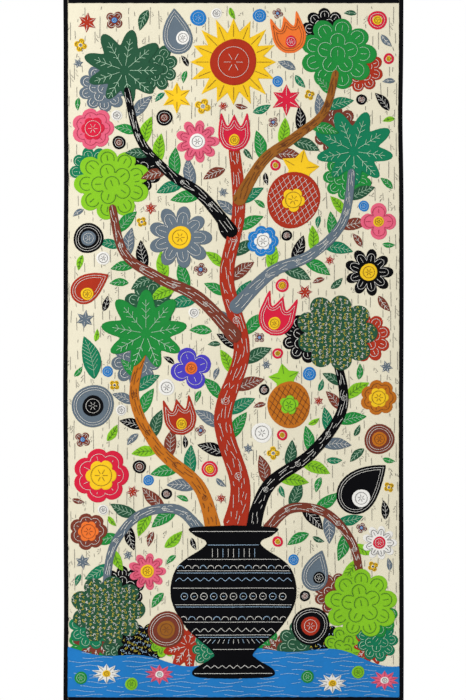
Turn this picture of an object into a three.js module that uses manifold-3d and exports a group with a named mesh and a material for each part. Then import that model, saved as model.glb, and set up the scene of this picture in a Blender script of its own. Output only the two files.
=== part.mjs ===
// Applique wall hanging: a cream cotton ground, a black binding folded over its four edges, and cut
// cloth pieces sewn on in overlapping layers. Sizes are in millimetres. X runs right, Z up, and the
// front faces -Y. The origin is the middle of the top edge, where the hanging is held.
import * as THREE from "three";
import { mergeVertices } from "three/addons/utils/BufferGeometryUtils.js";
import loadKernel from "manifold-3d";

const kernel = await loadKernel();
kernel.setup();
const { Manifold, Mesh: KernelMesh } = kernel;

// Driving sizes
const WIDTH = 900; // over the side bindings
const HEIGHT = 1860; // over the top and bottom bindings
const BINDING_WIDTH = 12; // seen width of the binding on each face
const GROUND_CLOTH = 1.5; // thickness of the ground
const PATCH_CLOTH = 1.0; // thickness of an applied piece and of one side of the binding
const GAP = 0.3; // clearance between neighbouring pieces
const DRAPE_TOP = 1.0; // height of the hanging waves at the top edge
const DRAPE_BOTTOM = 3.6; // height of the hanging waves at the bottom edge
const COLUMNS = 16; // cells of the drape grid across
const ROWS = 24; // cells of the drape grid down
const DESIGN_WIDTH = 900; // size at which the design tables below are written
const DESIGN_HEIGHT = 1860;
const HAND_CUT = 0.02; // share by which hand-cut rounds and points stray from even

const LAYER = PATCH_CLOTH + GAP;
const ACROSS = WIDTH / DESIGN_WIDTH;
const DOWN = HEIGHT / DESIGN_HEIGHT;
const TURN = 2 * Math.PI;

// Cotton cloths: name, colour
const CLOTHS = {
  cream: 0xe5dec4,
  black: 0x100f12,
  blue: 0x1c7ac4,
  deep: 0x24543a,
  green: 0x18913c,
  jade: 0x087852,
  lime: 0x88cc1c,
  rust: 0xb82c16,
  brown: 0x783626,
  ochre: 0x965c1e,
  tan: 0xc06e18,
  grey: 0x62707c,
  yellow: 0xf6c61c,
  violet: 0x4a3ebe,
  pink: 0xe2607c,
  crimson: 0xd61c3c,
  orange: 0xf0742c,
  white: 0xeeece8,
};

// Fold lines left by storage: direction, position from the top or the middle, height, reach
const CREASES = [
  ["upright", 0, 1.6, 18],
  ["level", -465, 1.2, 16],
  ["level", -930, 1.5, 16],
  ["level", -1395, 1.2, 16],
  ["level", -1560, 0.9, 12],
  ["level", -1687, 1.1, 12],
  ["level", -1748, 0.9, 12],
];

// Stems: name, cloth, width at the foot, width at the tip, route from foot to tip as x, z
const SIDE_STEMS = [
  ["stem_low_left", "grey", 28, 20, [[-86, -1410], [-150, -1352], [-250, -1368], [-318, -1450], [-338, -1560]]],
  ["stem_low_right", "brown", 28, 20, [[86, -1410], [150, -1350], [245, -1362], [314, -1440], [338, -1545]]],
  ["stem_left", "tan", 38, 22, [[-51, -1410], [-92, -1290], [-200, -1190], [-262, -1060], [-240, -930]]],
  ["stem_right", "black", 38, 22, [[48, -1410], [92, -1290], [210, -1200], [290, -1080], [272, -950]]],
  ["stem_trunk", "rust", 56, 30,
    [[-2, -1410], [18, -1290], [-28, -1110], [22, -930], [-18, -740], [14, -560], [0, -385]]],
];
const BRANCHES = [
  ["branch_left", "brown", 36, 20, [[14, -905], [-92, -792], [-200, -738], [-290, -672], [-322, -545]]],
  ["branch_right", "grey", 36, 20, [[-4, -828], [100, -725], [205, -678], [290, -590], [314, -450]]],
  ["branch_top_left", "black", 32, 18, [[4, -628], [-85, -520], [-170, -462], [-248, -372], [-284, -235]]],
  ["branch_top_right", "ochre", 32, 18, [[8, -545], [78, -430], [160, -368], [240, -300], [272, -190]]],
];

// Right half of the vase from the foot up: half width, z
const VASE = [
  [0, -1800], [96, -1796], [106, -1776], [62, -1748], [56, -1728], [126, -1664], [166, -1585],
  [150, -1505], [82, -1454], [74, -1436], [104, -1420], [112, -1400], [0, -1394],
];

// Layers of each figure: kind, share of the figure's size, aspect, lobes, notch depth, rise, cloth
const RECIPES = {
  clump: [["lobed", 1.0, 1.05, 9, 0.22, 0, 0]],
  fan: [["palm", 1.0, 1.05, 9, 0.38, 0, 0]],
  sun: [["star", 1.0, 1.0, 16, 0.32, 0, 0], ["round", 0.52, 1.0, 0, 0, 0, 1]],
  daisy: [["lobed", 1.0, 1.0, 9, 0.36, 0, 0]],
  rose: [["lobed", 1.0, 1.0, 7, 0.17, 0, 0]],
  quatre: [["lobed", 1.0, 1.0, 4, 0.42, 0, 0]],
  star: [["star", 1.0, 1.0, 6, 0.48, 0, 0]],
  coin: [["round", 1.0, 1.0, 0, 0, 0, 0]],
  tulip: [["tulip", 1.0, 1.0, 0, 0, 0, 0]],
  paisley: [["paisley", 2.1, 0.62, 0, 0, -1.0, 0]],
  leaf: [["leaf", 2.1, 0.42, 0, 0.05, -1.05, 0]],
  fruit: [["star", 0.62, 1.0, 5, 0.45, 0.86, 1], ["round", 0.86, 0.92, 0, 0, -0.1, 0]],
};

// Figures under the branches: name, recipe, x, z, size, turn in degrees, cloth, second cloth
const BACKED_FIGURES = [
  ["clump_mid_left", "clump", -322, -490, 96, 20, "lime", "lime"],
  ["clump_mid_right", "fan", 318, -404, 100, -8, "jade", "jade"],
  ["clump_top_left", "fan", -288, -190, 100, 0, "deep", "deep"],
  ["clump_top_right", "clump", 276, -146, 96, 0, "green", "green"],
];

// Figures on top: name, recipe, x, z, size, turn in degrees, cloth, second cloth
const FIGURES = [
  ["clump_low_left", "clump", -332, -1618, 94, 0, "deep", "deep"],
  ["clump_low_right", "clump", 338, -1602, 92, 10, "lime", "lime"],
  ["clump_left", "fan", -232, -886, 106, 10, "green", "green"],
  ["clump_right", "clump", 272, -884, 102, 0, "deep", "deep"],
  ["sun", "sun", 0, -168, 118, 0, "yellow", "rust"],
  ["bud", "tulip", 2, -352, 52, 0, "crimson", "yellow"],
  ["fruit_upper", "fruit", 160, -524, 88, -12, "rust", "yellow"],
  ["daisy_left", "daisy", -142, -632, 84, 0, "grey", "yellow"],
  ["paisley_right", "paisley", 348, -1292, 80, -18, "black", "white"],
  ["rose_left", "rose", -350, -1262, 74, 0, "crimson", "yellow"],
  ["fruit_right", "fruit", 146, -1068, 72, 10, "tan", "lime"],
  ["daisy_right", "daisy", 358, -724, 64, 0, "black", "yellow"],
  ["daisy_upper", "daisy", -96, -378, 58, 0, "pink", "white"],
  ["paisley_top", "paisley", -148, -84, 60, 35, "grey", "white"],
  ["rose_upper", "rose", -372, -344, 56, 0, "pink", "crimson"],
  ["coin_left", "coin", -372, -1078, 56, 0, "grey", "black"],
  ["quatre_left", "quatre", -112, -978, 56, 20, "violet", "orange"],
  ["coin_low", "coin", -178, -1670, 48, 0, "brown", "ochre"],
  ["paisley_left", "paisley", -376, -762, 56, -30, "rust", "yellow"],
  ["tulip_right", "tulip", 116, -836, 58, -18, "crimson", "yellow"],
  ["tulip_top", "tulip", 146, -92, 54, 16, "orange", "crimson"],
  ["rose_low_left", "rose", -384, -1410, 50, 0, "brown", "orange"],
  ["leaf_left", "leaf", -382, -950, 56, 14, "jade", "jade"],
  ["paisley_low", "paisley", 222, -1512, 54, 12, "grey", "black"],
  ["rose_right", "rose", 384, -1056, 48, 0, "tan", "yellow"],
  ["quatre_right", "quatre", 384, -590, 48, 0, "pink", "yellow"],
  ["daisy_low_right", "daisy", 386, -1440, 46, 0, "white", "crimson"],
  ["daisy_low_left", "daisy", -228, -1516, 50, 0, "pink", "yellow"],
  ["tulip_left", "tulip", -142, -1104, 52, 12, "rust", "yellow"],
  ["coin_mid_left", "coin", -384, -634, 40, 0, "black", "grey"],
  ["coin_mid_right", "coin", 386, -1166, 40, 0, "brown", "tan"],
  ["star_upper_left", "star", -150, -262, 42, 0, "yellow", "yellow"],
  ["star_upper_right", "star", 140, -268, 42, 0, "crimson", "crimson"],
  ["rose_middle", "rose", 78, -642, 42, 0, "blue", "white"],
  ["coin_low_right", "coin", 204, -1660, 50, 0, "black", "rust"],
];

// Height of the ground's front face: soft upright waves that grow downwards, and the fold lines
function drape(x, z) {
  const u = x / ACROSS;
  const w = z / DOWN;
  const swell = DRAPE_TOP + (DRAPE_BOTTOM - DRAPE_TOP) * (-w / DESIGN_HEIGHT);
  const broad = Math.sin((TURN * u) / 262 + 0.5 + 0.5 * Math.sin((TURN * w) / 1500));
  const narrow = 0.4 * Math.sin((TURN * u) / 149 + 2 + w / 520);
  let y = swell * (broad + narrow);
  for (const [direction, at, height, reach] of CREASES) {
    const away = Math.abs((direction === "upright" ? u : w) - at);
    y -= height * Math.exp(-away / reach);
  }
  return y;
}

const FRONT_AT_MOUNT = drape(0, 0) + GROUND_CLOTH / 2;

function frontFace(x, z) {
  return drape(x, z) - FRONT_AT_MOUNT;
}

// Grid lines of the drape, moved on to the fold lines they pass close to
function gridLines(count, first, last, direction, scale) {
  const cell = (last - first) / count;
  return Array.from({ length: count + 1 }, (_, i) => {
    const line = first + cell * i;
    const folds = CREASES.filter((fold) => fold[0] === direction).map((fold) => fold[1] * scale);
    const near = folds.find((at) => Math.abs(at - line) < Math.abs(cell) / 2);
    return near === undefined ? line : near;
  });
}

const xs = gridLines(COLUMNS, -WIDTH / 2 - 8, WIDTH / 2 + 8, "upright", ACROSS);
const zs = gridLines(ROWS, 8, -HEIGHT - 8, "level", DOWN);

// How far each outer edge strays from straight, by the distance along it
function stray(side, along) {
  if (side === "right") {
    return 0.6 * Math.sin(along / 151) - 2.0 * Math.exp(-(((along + 320 * DOWN) / 110) ** 2));
  }
  if (side === "left") return 0.8 * Math.sin(along / 173 + 1) + 0.3 * Math.sin(along / 61);
  return 0.5 * Math.sin(along / 139 + 0.4);
}

// Grid lines strictly between two limits, with the limits at the ends, from first to last
function between(lines, first, last) {
  const way = Math.sign(last - first);
  const inside = lines.filter((at) => (at - first) * way > 1 && (last - at) * way > 1);
  return [first, ...inside.sort((a, b) => (a - b) * way), last];
}

// Points of the rectangle that lies a distance inside the hanging's outer edge, anticlockwise
function insetEdge(inset) {
  const right = WIDTH / 2 - inset;
  const bottom = -HEIGHT + inset;
  const left = between(zs, -inset, bottom).map((z) => [-right - stray("left", z), z]);
  const lower = between(xs, -right, right).slice(1, -1).map((x) => [x, bottom + stray("bottom", x)]);
  const rise = between(zs, bottom, -inset).map((z) => [right + stray("right", z), z]);
  const upper = between(xs, right, -right).slice(1, -1).map((x) => [x, -inset]);
  return [...left, ...lower, ...rise, ...upper];
}

function turned(points, degrees) {
  const c = Math.cos((degrees * Math.PI) / 180);
  const s = Math.sin((degrees * Math.PI) / 180);
  return points.map(([x, z]) => [x * c - z * s, x * s + z * c]);
}

// Hand-cut lobed round: the notches cut in by a share of the radius, and sharpness shapes each lobe
function lobed(radius, aspect, lobes, notch, sharpness, lean) {
  const count = lobes ? lobes * 4 : 24;
  return Array.from({ length: count }, (_, i) => {
    const angle = (i / count) * TURN;
    const wave = lobes ? Math.abs(Math.cos((lobes * angle) / 2)) ** sharpness : 1;
    const uneven = 1 + HAND_CUT * (Math.sin(2 * angle + lobes) + Math.sin(3 * angle + radius));
    const r = radius * (1 - notch + notch * wave) * (1 + lean * Math.sin(angle)) * uneven;
    return [r * Math.cos(angle) * aspect, r * Math.sin(angle)];
  });
}

function star(radius, points, notch) {
  return Array.from({ length: 2 * points }, (_, i) => {
    const angle = (i / (2 * points)) * TURN + Math.PI / 2;
    const uneven = 1 + 2 * HAND_CUT * Math.sin(2.4 * i + points);
    const r = (i % 2 ? radius * (1 - notch) : radius) * uneven;
    return [r * Math.cos(angle), r * Math.sin(angle)];
  });
}

function leaf(length, width, bend) {
  const steps = 8;
  const right = [];
  const left = [];
  for (let i = 0; i <= steps; i++) {
    const share = i / steps;
    const half = (width / 2) * Math.max(Math.sin(Math.PI * share ** 0.85), 0) ** 0.9;
    const middle = bend * length * Math.sin(Math.PI * share);
    right.push([middle + half, share * length]);
    if (i > 0 && i < steps) left.unshift([middle - half, share * length]);
  }
  return right.concat(left);
}

function paisley(length, width) {
  const count = 22;
  return Array.from({ length: count }, (_, i) => {
    const angle = (i / count) * TURN;
    const share = (1 - Math.cos(angle)) / 2;
    const half = (width / 2) * Math.sin(angle) * (1 - share) ** 0.35 * 1.25;
    return [half + 0.3 * length * share ** 3 - 0.1 * length, share * length - 0.1 * length * share ** 4];
  });
}

// Smooth line through the route's points
function smooth(route, steps) {
  const line = [];
  for (let i = 0; i + 1 < route.length; i++) {
    const [a, b, c, d] = [i - 1, i, i + 1, i + 2].map(
      (k) => route[Math.min(Math.max(k, 0), route.length - 1)]);
    for (let k = 0; k < steps; k++) {
      const t = k / steps;
      line.push([0, 1].map((axis) => 0.5 * (2 * b[axis] + (c[axis] - a[axis]) * t
        + (2 * a[axis] - 5 * b[axis] + 4 * c[axis] - d[axis]) * t * t
        + (3 * b[axis] - a[axis] - 3 * c[axis] + d[axis]) * t ** 3)));
    }
  }
  line.push(route[route.length - 1]);
  return line;
}

function tulip(radius) {
  const rows = [[0, -1], [0.5, -0.82], [0.8, -0.3], [0.78, 0.35], [0.66, 0.95], [0.42, 0.4], [0.28, 0.35], [0, 0.9]];
  const right = smooth(rows.map(([x, z]) => [x * radius, z * radius]), 2);
  return right.concat(right.slice(1, -1).reverse().map(([x, z]) => [-x, z]));
}

function stem(foot, tip, route) {
  const line = smooth(route, 4);
  const left = [];
  const right = [];
  line.forEach((point, i) => {
    const before = line[Math.max(i - 1, 0)];
    const after = line[Math.min(i + 1, line.length - 1)];
    const length = Math.hypot(after[0] - before[0], after[1] - before[1]);
    const [dx, dz] = [(after[0] - before[0]) / length, (after[1] - before[1]) / length];
    const share = i / (line.length - 1);
    const rounding = Math.min(1, Math.sqrt(0.1 + share / 0.045), Math.sqrt(0.1 + (1 - share) / 0.03));
    const half = ((foot + (tip - foot) * share) / 2) * rounding * (1 + 0.3 * Math.exp(-14 * share));
    right.push([point[0] + dz * half, point[1] - dx * half]);
    left.unshift([point[0] - dz * half, point[1] + dx * half]);
  });
  return right.concat(left);
}

function vase() {
  const right = smooth(VASE, 2);
  return right.concat(right.slice(1, -1).reverse().map(([x, z]) => [-x, z]));
}

// Water at the foot: a wavy top edge, and sides that run on past the binding and are trimmed to it
function pool() {
  const right = DESIGN_WIDTH / 2 + 10;
  const points = [[-right, -DESIGN_HEIGHT - 10], [right, -DESIGN_HEIGHT - 10]];
  for (let i = 18; i >= 0; i--) {
    const x = right * (i / 9 - 1);
    points.push([x, -1738 + 20 * Math.sin(x / 95) + 11 * Math.sin(x / 41 + 1)]);
  }
  return points;
}

function shape(kind, size, aspect, lobes, notch) {
  if (kind === "lobed") return lobed(size, aspect, lobes, notch, 0.7, 0);
  if (kind === "palm") return lobed(size, aspect, lobes, notch, 1.6, 0.12);
  if (kind === "round") return lobed(size, aspect, 0, 0, 1, 0);
  if (kind === "star") return star(size, lobes, notch);
  if (kind === "leaf") return leaf(size, size * aspect, notch);
  if (kind === "paisley") return paisley(size, size * aspect);
  return tulip(size);
}

// Cut pieces of one figure, lowest first
function figurePieces([name, recipe, x, z, size, degrees, cloth, second]) {
  return RECIPES[recipe].map(([kind, share, aspect, lobes, notch, rise, which], layer) => {
    const points = shape(kind, size * share, aspect, lobes, notch).map(([a, b]) => [a, b + rise * size]);
    return {
      name: layer ? `${name}_top` : name,
      cloth: which ? second : cloth,
      outline: turned(points, degrees).map(([a, b]) => [a + x, b + z]),
    };
  });
}

function stemPiece([name, cloth, foot, tip, route]) {
  return { name, cloth, outline: stem(foot, tip, route) };
}

// Outline moved out by a distance, its corners kept to twice that distance
function grown(outline, by) {
  const points = THREE.ShapeUtils.area(outline.map(([x, z]) => ({ x, y: z }))) < 0
    ? [...outline].reverse() : outline;
  return points.map(([x, z], i) => {
    const [ax, az] = points[(i + points.length - 1) % points.length];
    const [bx, bz] = points[(i + 1) % points.length];
    const before = new THREE.Vector2(z - az, ax - x).normalize();
    const after = new THREE.Vector2(bz - z, x - bx).normalize();
    const push = before.clone().add(after).divideScalar(1 + Math.max(before.dot(after), -0.5));
    push.clampLength(0, 2).multiplyScalar(by);
    return [x + push.x, z + push.y];
  });
}

function toSolid(geometry) {
  geometry.deleteAttribute("normal");
  geometry.deleteAttribute("uv");
  const merged = mergeVertices(geometry, 1e-4);
  return new Manifold(new KernelMesh({
    numProp: 3,
    vertProperties: Float32Array.from(merged.getAttribute("position").array),
    triVerts: Uint32Array.from(merged.index.array),
  }));
}

// Upright prism through the whole drape with the given outline
function prism(outline) {
  const depth = 80;
  const flat = new THREE.Shape(outline.map(([x, z]) => new THREE.Vector2(x, z)));
  const geometry = new THREE.ExtrudeGeometry(flat, { depth, bevelEnabled: false, steps: 1 });
  geometry.rotateX(Math.PI / 2);
  geometry.translate(0, depth / 2, 0);
  return toSolid(geometry);
}

// Sheet that follows the drape, between two distances in front of the ground's front face
function slab(near, far) {
  const wide = xs.length;
  const positions = [];
  const index = [];
  for (const level of [far, near]) {
    for (const z of zs) for (const x of xs) positions.push(x, frontFace(x, z) - level, z);
  }
  const back = wide * zs.length;
  for (let j = 0; j + 1 < zs.length; j++) {
    for (let i = 0; i + 1 < wide; i++) {
      const [a, b, c, d] = [j * wide + i, j * wide + i + 1, (j + 1) * wide + i + 1, (j + 1) * wide + i];
      index.push(a, d, c, a, c, b, back + a, back + c, back + d, back + a, back + b, back + c);
    }
  }
  const rim = [];
  for (let i = 0; i < wide - 1; i++) rim.push(i);
  for (let j = 0; j < zs.length - 1; j++) rim.push(j * wide + wide - 1);
  for (let i = wide - 1; i > 0; i--) rim.push((zs.length - 1) * wide + i);
  for (let j = zs.length - 1; j > 0; j--) rim.push(j * wide);
  rim.forEach((a, k) => {
    const b = rim[(k + 1) % rim.length];
    index.push(a, b, back + b, a, back + b, back + a);
  });
  const geometry = new THREE.BufferGeometry();
  geometry.setAttribute("position", new THREE.Float32BufferAttribute(positions, 3));
  geometry.setIndex(index);
  return toSolid(geometry);
}

function toMesh(name, cloth, solid) {
  const { numProp, vertProperties, triVerts } = solid.getMesh();
  const positions = new Float32Array((vertProperties.length / numProp) * 3);
  for (let i = 0; i < positions.length / 3; i++) {
    for (let axis = 0; axis < 3; axis++) positions[3 * i + axis] = vertProperties[numProp * i + axis];
  }
  const geometry = new THREE.BufferGeometry();
  geometry.setAttribute("position", new THREE.BufferAttribute(positions, 3));
  geometry.setIndex(Array.from(triVerts));
  geometry.computeVertexNormals();
  const material = new THREE.MeshStandardMaterial({
    name: `cotton_${cloth}`, color: CLOTHS[cloth], roughness: 0.9, metalness: 0,
  });
  const mesh = new THREE.Mesh(geometry, material);
  mesh.name = name;
  return mesh;
}

function buildGround() {
  return prism(insetEdge(LAYER)).intersect(slab(-GROUND_CLOTH, 0));
}

// Four strips folded over the ground's edge: the sides run full height, the others between them
function buildBindings() {
  const frame = prism(insetEdge(0))
    .subtract(prism(insetEdge(BINDING_WIDTH)))
    .intersect(slab(-GROUND_CLOTH - LAYER, LAYER))
    .subtract(prism(insetEdge(PATCH_CLOTH)).intersect(slab(-GROUND_CLOTH - GAP, GAP)));
  const inner = WIDTH / 2 - BINDING_WIDTH;
  const low = -HEIGHT + BINDING_WIDTH + 1;
  const box = (left, right, top, bottom) => prism([[left, top], [left, bottom], [right, bottom], [right, top]]);
  const sides = frame
    .subtract(box(-inner, inner, 20, -BINDING_WIDTH - 1))
    .subtract(box(-inner, inner, low, -HEIGHT - 20));
  return {
    binding_left: sides.intersect(box(-WIDTH, 0, 20, -HEIGHT - 20)),
    binding_right: sides.intersect(box(0, WIDTH, 20, -HEIGHT - 20)),
    binding_top: frame.intersect(box(GAP - inner, inner - GAP, 20, -BINDING_WIDTH)),
    binding_bottom: frame.intersect(box(GAP - inner, inner - GAP, low, -HEIGHT - 20)),
  };
}

// Applied pieces, each lying one layer above the highest piece it covers and cleared of it below
function buildApplique(pieces) {
  const field = prism(insetEdge(BINDING_WIDTH + GAP));
  const placed = [];
  for (const { name, cloth, outline } of pieces) {
    const points = grown(outline.map(([x, z]) => [x * ACROSS, z * DOWN]), 0);
    const column = prism(points).intersect(field);
    const below = placed.filter((other) => !other.room.intersect(column).isEmpty());
    const level = 1 + Math.max(0, ...below.map((other) => other.level));
    let solid = column.intersect(slab(GAP, level * LAYER));
    for (const other of below) {
      solid = solid.subtract(other.room.intersect(slab(-1, other.level * LAYER + GAP)));
    }
    placed.push({ name, cloth, level, solid, room: prism(grown(points, GAP)) });
  }
  return placed;
}

function build() {
  const group = new THREE.Group();
  group.name = "applique_wall_hanging";
  group.add(toMesh("ground", "cream", buildGround()));
  for (const [name, solid] of Object.entries(buildBindings())) group.add(toMesh(name, "black", solid));
  const pieces = [
    { name: "pool", cloth: "blue", outline: pool() },
    ...BACKED_FIGURES.flatMap(figurePieces),
    ...SIDE_STEMS.map(stemPiece),
    ...BRANCHES.map(stemPiece),
    { name: "vase", cloth: "black", outline: vase() },
    ...FIGURES.flatMap(figurePieces),
  ];
  for (const { name, cloth, solid } of buildApplique(pieces)) group.add(toMesh(name, cloth, solid));
  return group;
}

export default build();
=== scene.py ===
"""Applique wall hanging in cotton: a ground, a folded binding, sewn pieces and hand stitches."""
import logging
import math
from collections.abc import Callable, Iterable, Iterator
from dataclasses import dataclass, field
from enum import Enum
from functools import cache

import bpy
import numpy as np
from bpy.types import Material, Node, NodeSocket, NodeTree, Object
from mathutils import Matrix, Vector
from mathutils.geometry import delaunay_2d_cdt


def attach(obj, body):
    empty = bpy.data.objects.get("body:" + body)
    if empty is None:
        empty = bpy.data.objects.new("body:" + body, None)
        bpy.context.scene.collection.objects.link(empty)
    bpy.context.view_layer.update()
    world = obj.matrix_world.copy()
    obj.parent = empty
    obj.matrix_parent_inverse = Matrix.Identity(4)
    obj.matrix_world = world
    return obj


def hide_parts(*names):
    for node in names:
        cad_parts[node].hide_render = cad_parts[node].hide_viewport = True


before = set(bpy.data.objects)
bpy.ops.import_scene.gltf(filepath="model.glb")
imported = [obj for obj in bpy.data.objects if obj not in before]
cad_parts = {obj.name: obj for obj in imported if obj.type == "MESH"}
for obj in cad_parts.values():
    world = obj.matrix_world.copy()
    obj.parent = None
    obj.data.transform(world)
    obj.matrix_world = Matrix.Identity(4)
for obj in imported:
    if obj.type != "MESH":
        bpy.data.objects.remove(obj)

Array = np.ndarray
Sockets = bpy.types.bpy_prop_collection  # a node's inputs or outputs, by name or number
LOG = logging.getLogger("hanging")
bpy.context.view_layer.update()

# Sizes are in millimetres, and places are x, z from the middle of the top edge
MM = 0.001
TURN = 2 * math.pi
WIDTH = 900.0
HEIGHT = 1860.0
BINDING_WIDTH = 12.0
FIELD_SIDE = WIDTH / 2 - BINDING_WIDTH  # from the middle to the side bindings
TUCK_SIDE = FIELD_SIDE + 2  # how far out a piece may reach under them
GROUND_CLOTH = 1.0
ALBEDO = 0.72  # share of the seen colour that the cloth reflects under this light
HAND_CUT = 0.02  # share by which hand-cut rounds and points stray from even


class Named(Enum):
    """A choice whose name is also used for objects and materials."""

    @property
    def label(self) -> str:
        """Gives the name in small letters."""
        return self.name.lower()


class Cloth(Named):
    """Cotton cloths of the hanging."""

    CREAM, BLACK, BLUE, DEEP, GREEN, JADE, LIME, RUST, BROWN = range(9)
    OCHRE, TAN, GREY, YELLOW, VIOLET, PINK, CRIMSON, ORANGE, WHITE = range(9, 18)


class Thread(Named):
    """Sewing threads of the hanging."""

    WHITE, MINT, ICE, GOLD, CRIMSON, FOREST, UMBER, CHARCOAL = range(8)


class Side(Named):
    """Edges of the hanging."""

    LEFT, RIGHT, TOP, BOTTOM = range(4)


class Course(Named):
    """Kinds of stitch: worked lines, their runs on the back, and those that hold a turned edge."""

    THREAD, BACK, SLIP = range(3)


class Shape(Enum):
    """Outlines of a figure's layers."""

    LOBED, PALM, ROUND, STAR, LEAF, PAISLEY, TULIP = range(7)


class Work(Enum):
    """Ways in which a layer is worked with the needle."""

    SCALES, TWIGS, SEEDS, VEINS, PETALS, RAYS, RINGS, ECHO, LATTICE = range(9)


class Motif(Enum):
    """Figures of the design."""

    CLUMP, BUSH, FAN, SUN, DAISY, ROSE, QUATRE, STAR = range(8)
    COIN, BERRY, TULIP, PAISLEY, LEAF, FRUIT, LOTUS = range(8, 15)


@dataclass(frozen=True)
class ClothFinish:
    """Colour and surface of one cotton cloth, and the threads that work it.

    Attributes:
        rgb: Colour as it is seen, each from 0 to 255.
        thread: Thread of its needlework.
        tick: Second thread of its scattered ticks.
        slub: Share by which thick and thin yarns vary the tone.
        fade: Share by which washing varies the tone over a hand's width.
        sheen: Weight of the soft fibre sheen.
        gloss: Specular level of the fibres.
    """

    rgb: tuple[int, int, int]
    thread: Thread
    tick: Thread = Thread.WHITE
    slub: float = 0.12
    fade: float = 0.06
    sheen: float = 0.06
    gloss: float = 0.08


@dataclass(frozen=True)
class ThreadFinish:
    """Colour and surface of one sewing thread.

    Attributes:
        rgb: Colour as it is seen, each from 0 to 255.
        roughness: Roughness of the twisted thread.
        sheen: Weight of its sheen.
    """

    rgb: tuple[int, int, int]
    roughness: float = 0.62
    sheen: float = 0.1


@dataclass(frozen=True)
class FoldLine:
    """A fold line left by storage.

    Attributes:
        upright: Whether it runs up and down rather than across.
        at: Where it lies across, or up if it is level.
        height: How far its ridge stands out.
        reach: How far its slopes spread.
    """

    upright: bool
    at: float
    height: float
    reach: float


@dataclass(frozen=True)
class Wrinkle:
    """A short wrinkle of the cloth.

    Attributes:
        x: Its middle across.
        z: Its middle up.
        degrees: Its turn anticlockwise.
        length: How far it runs to each side.
        width: How far its slopes spread.
        height: How far it stands out.
    """

    x: float
    z: float
    degrees: float
    length: float
    width: float
    height: float


@dataclass(frozen=True)
class Stitching:
    """How a line is sewn.

    Attributes:
        thread: Its thread.
        stitch: Length of a stitch.
        gap: Space between stitches.
        width: Width of the thread.
    """

    thread: Thread
    stitch: float
    gap: float
    width: float


@dataclass(frozen=True)
class Layer:
    """One cloth layer of a figure.

    Attributes:
        shape: Its outline.
        work: How it is worked with the needle.
        share: Its radius or length as a share of the figure's size.
        aspect: Width over height.
        lobes: How many lobes or points it has.
        notch: Share cut in between them, or the bend of a leaf.
        rise: How far up it lies, as a share of the figure's size.
        second: Whether it is cut from the figure's second cloth.
    """

    shape: Shape
    work: Work
    share: float = 1.0
    aspect: float = 1.0
    lobes: int = 0
    notch: float = 0.0
    rise: float = 0.0
    second: bool = False


def disc(share: float, aspect: float = 1.0, rise: float = 0.0) -> Layer:
    """Gives the round middle of a figure, cut from its second cloth."""
    return Layer(Shape.ROUND, Work.RINGS, share, aspect, rise=rise, second=True)


LAYERS: dict[Motif, tuple[Layer, ...]] = {
    Motif.CLUMP: (Layer(Shape.LOBED, Work.SCALES, 1.0, 1.05, 9, 0.22),),
    Motif.BUSH: (Layer(Shape.LOBED, Work.SEEDS, 1.0, 1.05, 9, 0.22),),
    Motif.FAN: (Layer(Shape.PALM, Work.TWIGS, 1.0, 1.05, 9, 0.38),),
    Motif.SUN: (Layer(Shape.STAR, Work.RAYS, lobes=16, notch=0.32), disc(0.52)),
    Motif.DAISY: (Layer(Shape.LOBED, Work.PETALS, lobes=9, notch=0.36), disc(0.36)),
    Motif.ROSE: (Layer(Shape.LOBED, Work.PETALS, lobes=7, notch=0.17),
                 Layer(Shape.LOBED, Work.RINGS, 0.56, lobes=6, notch=0.2, second=True)),
    Motif.QUATRE: (Layer(Shape.LOBED, Work.PETALS, lobes=4, notch=0.42), disc(0.3)),
    Motif.STAR: (Layer(Shape.STAR, Work.RAYS, lobes=6, notch=0.48),),
    Motif.COIN: (Layer(Shape.ROUND, Work.ECHO), disc(0.5)),
    Motif.BERRY: (Layer(Shape.ROUND, Work.RINGS),),
    Motif.TULIP: (Layer(Shape.TULIP, Work.ECHO), disc(0.3, 0.9, -0.42)),
    Motif.PAISLEY: (Layer(Shape.PAISLEY, Work.ECHO, 2.1, 0.62, rise=-1.0), disc(0.3, rise=-0.4)),
    Motif.LEAF: (Layer(Shape.LEAF, Work.VEINS, 2.1, 0.42, notch=0.05, rise=-1.05),),
    Motif.FRUIT: (Layer(Shape.STAR, Work.RAYS, 0.62, lobes=5, notch=0.45, rise=0.86, second=True),
                  Layer(Shape.ROUND, Work.LATTICE, 0.86, 0.92, rise=-0.1),
                  Layer(Shape.LOBED, Work.RINGS, 0.36, lobes=5, notch=0.25, rise=-0.1, second=True)),
    Motif.LOTUS: (Layer(Shape.STAR, Work.RAYS, 1.0, 1.5, 10, 0.42), disc(0.34, 1.2)),
}

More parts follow.
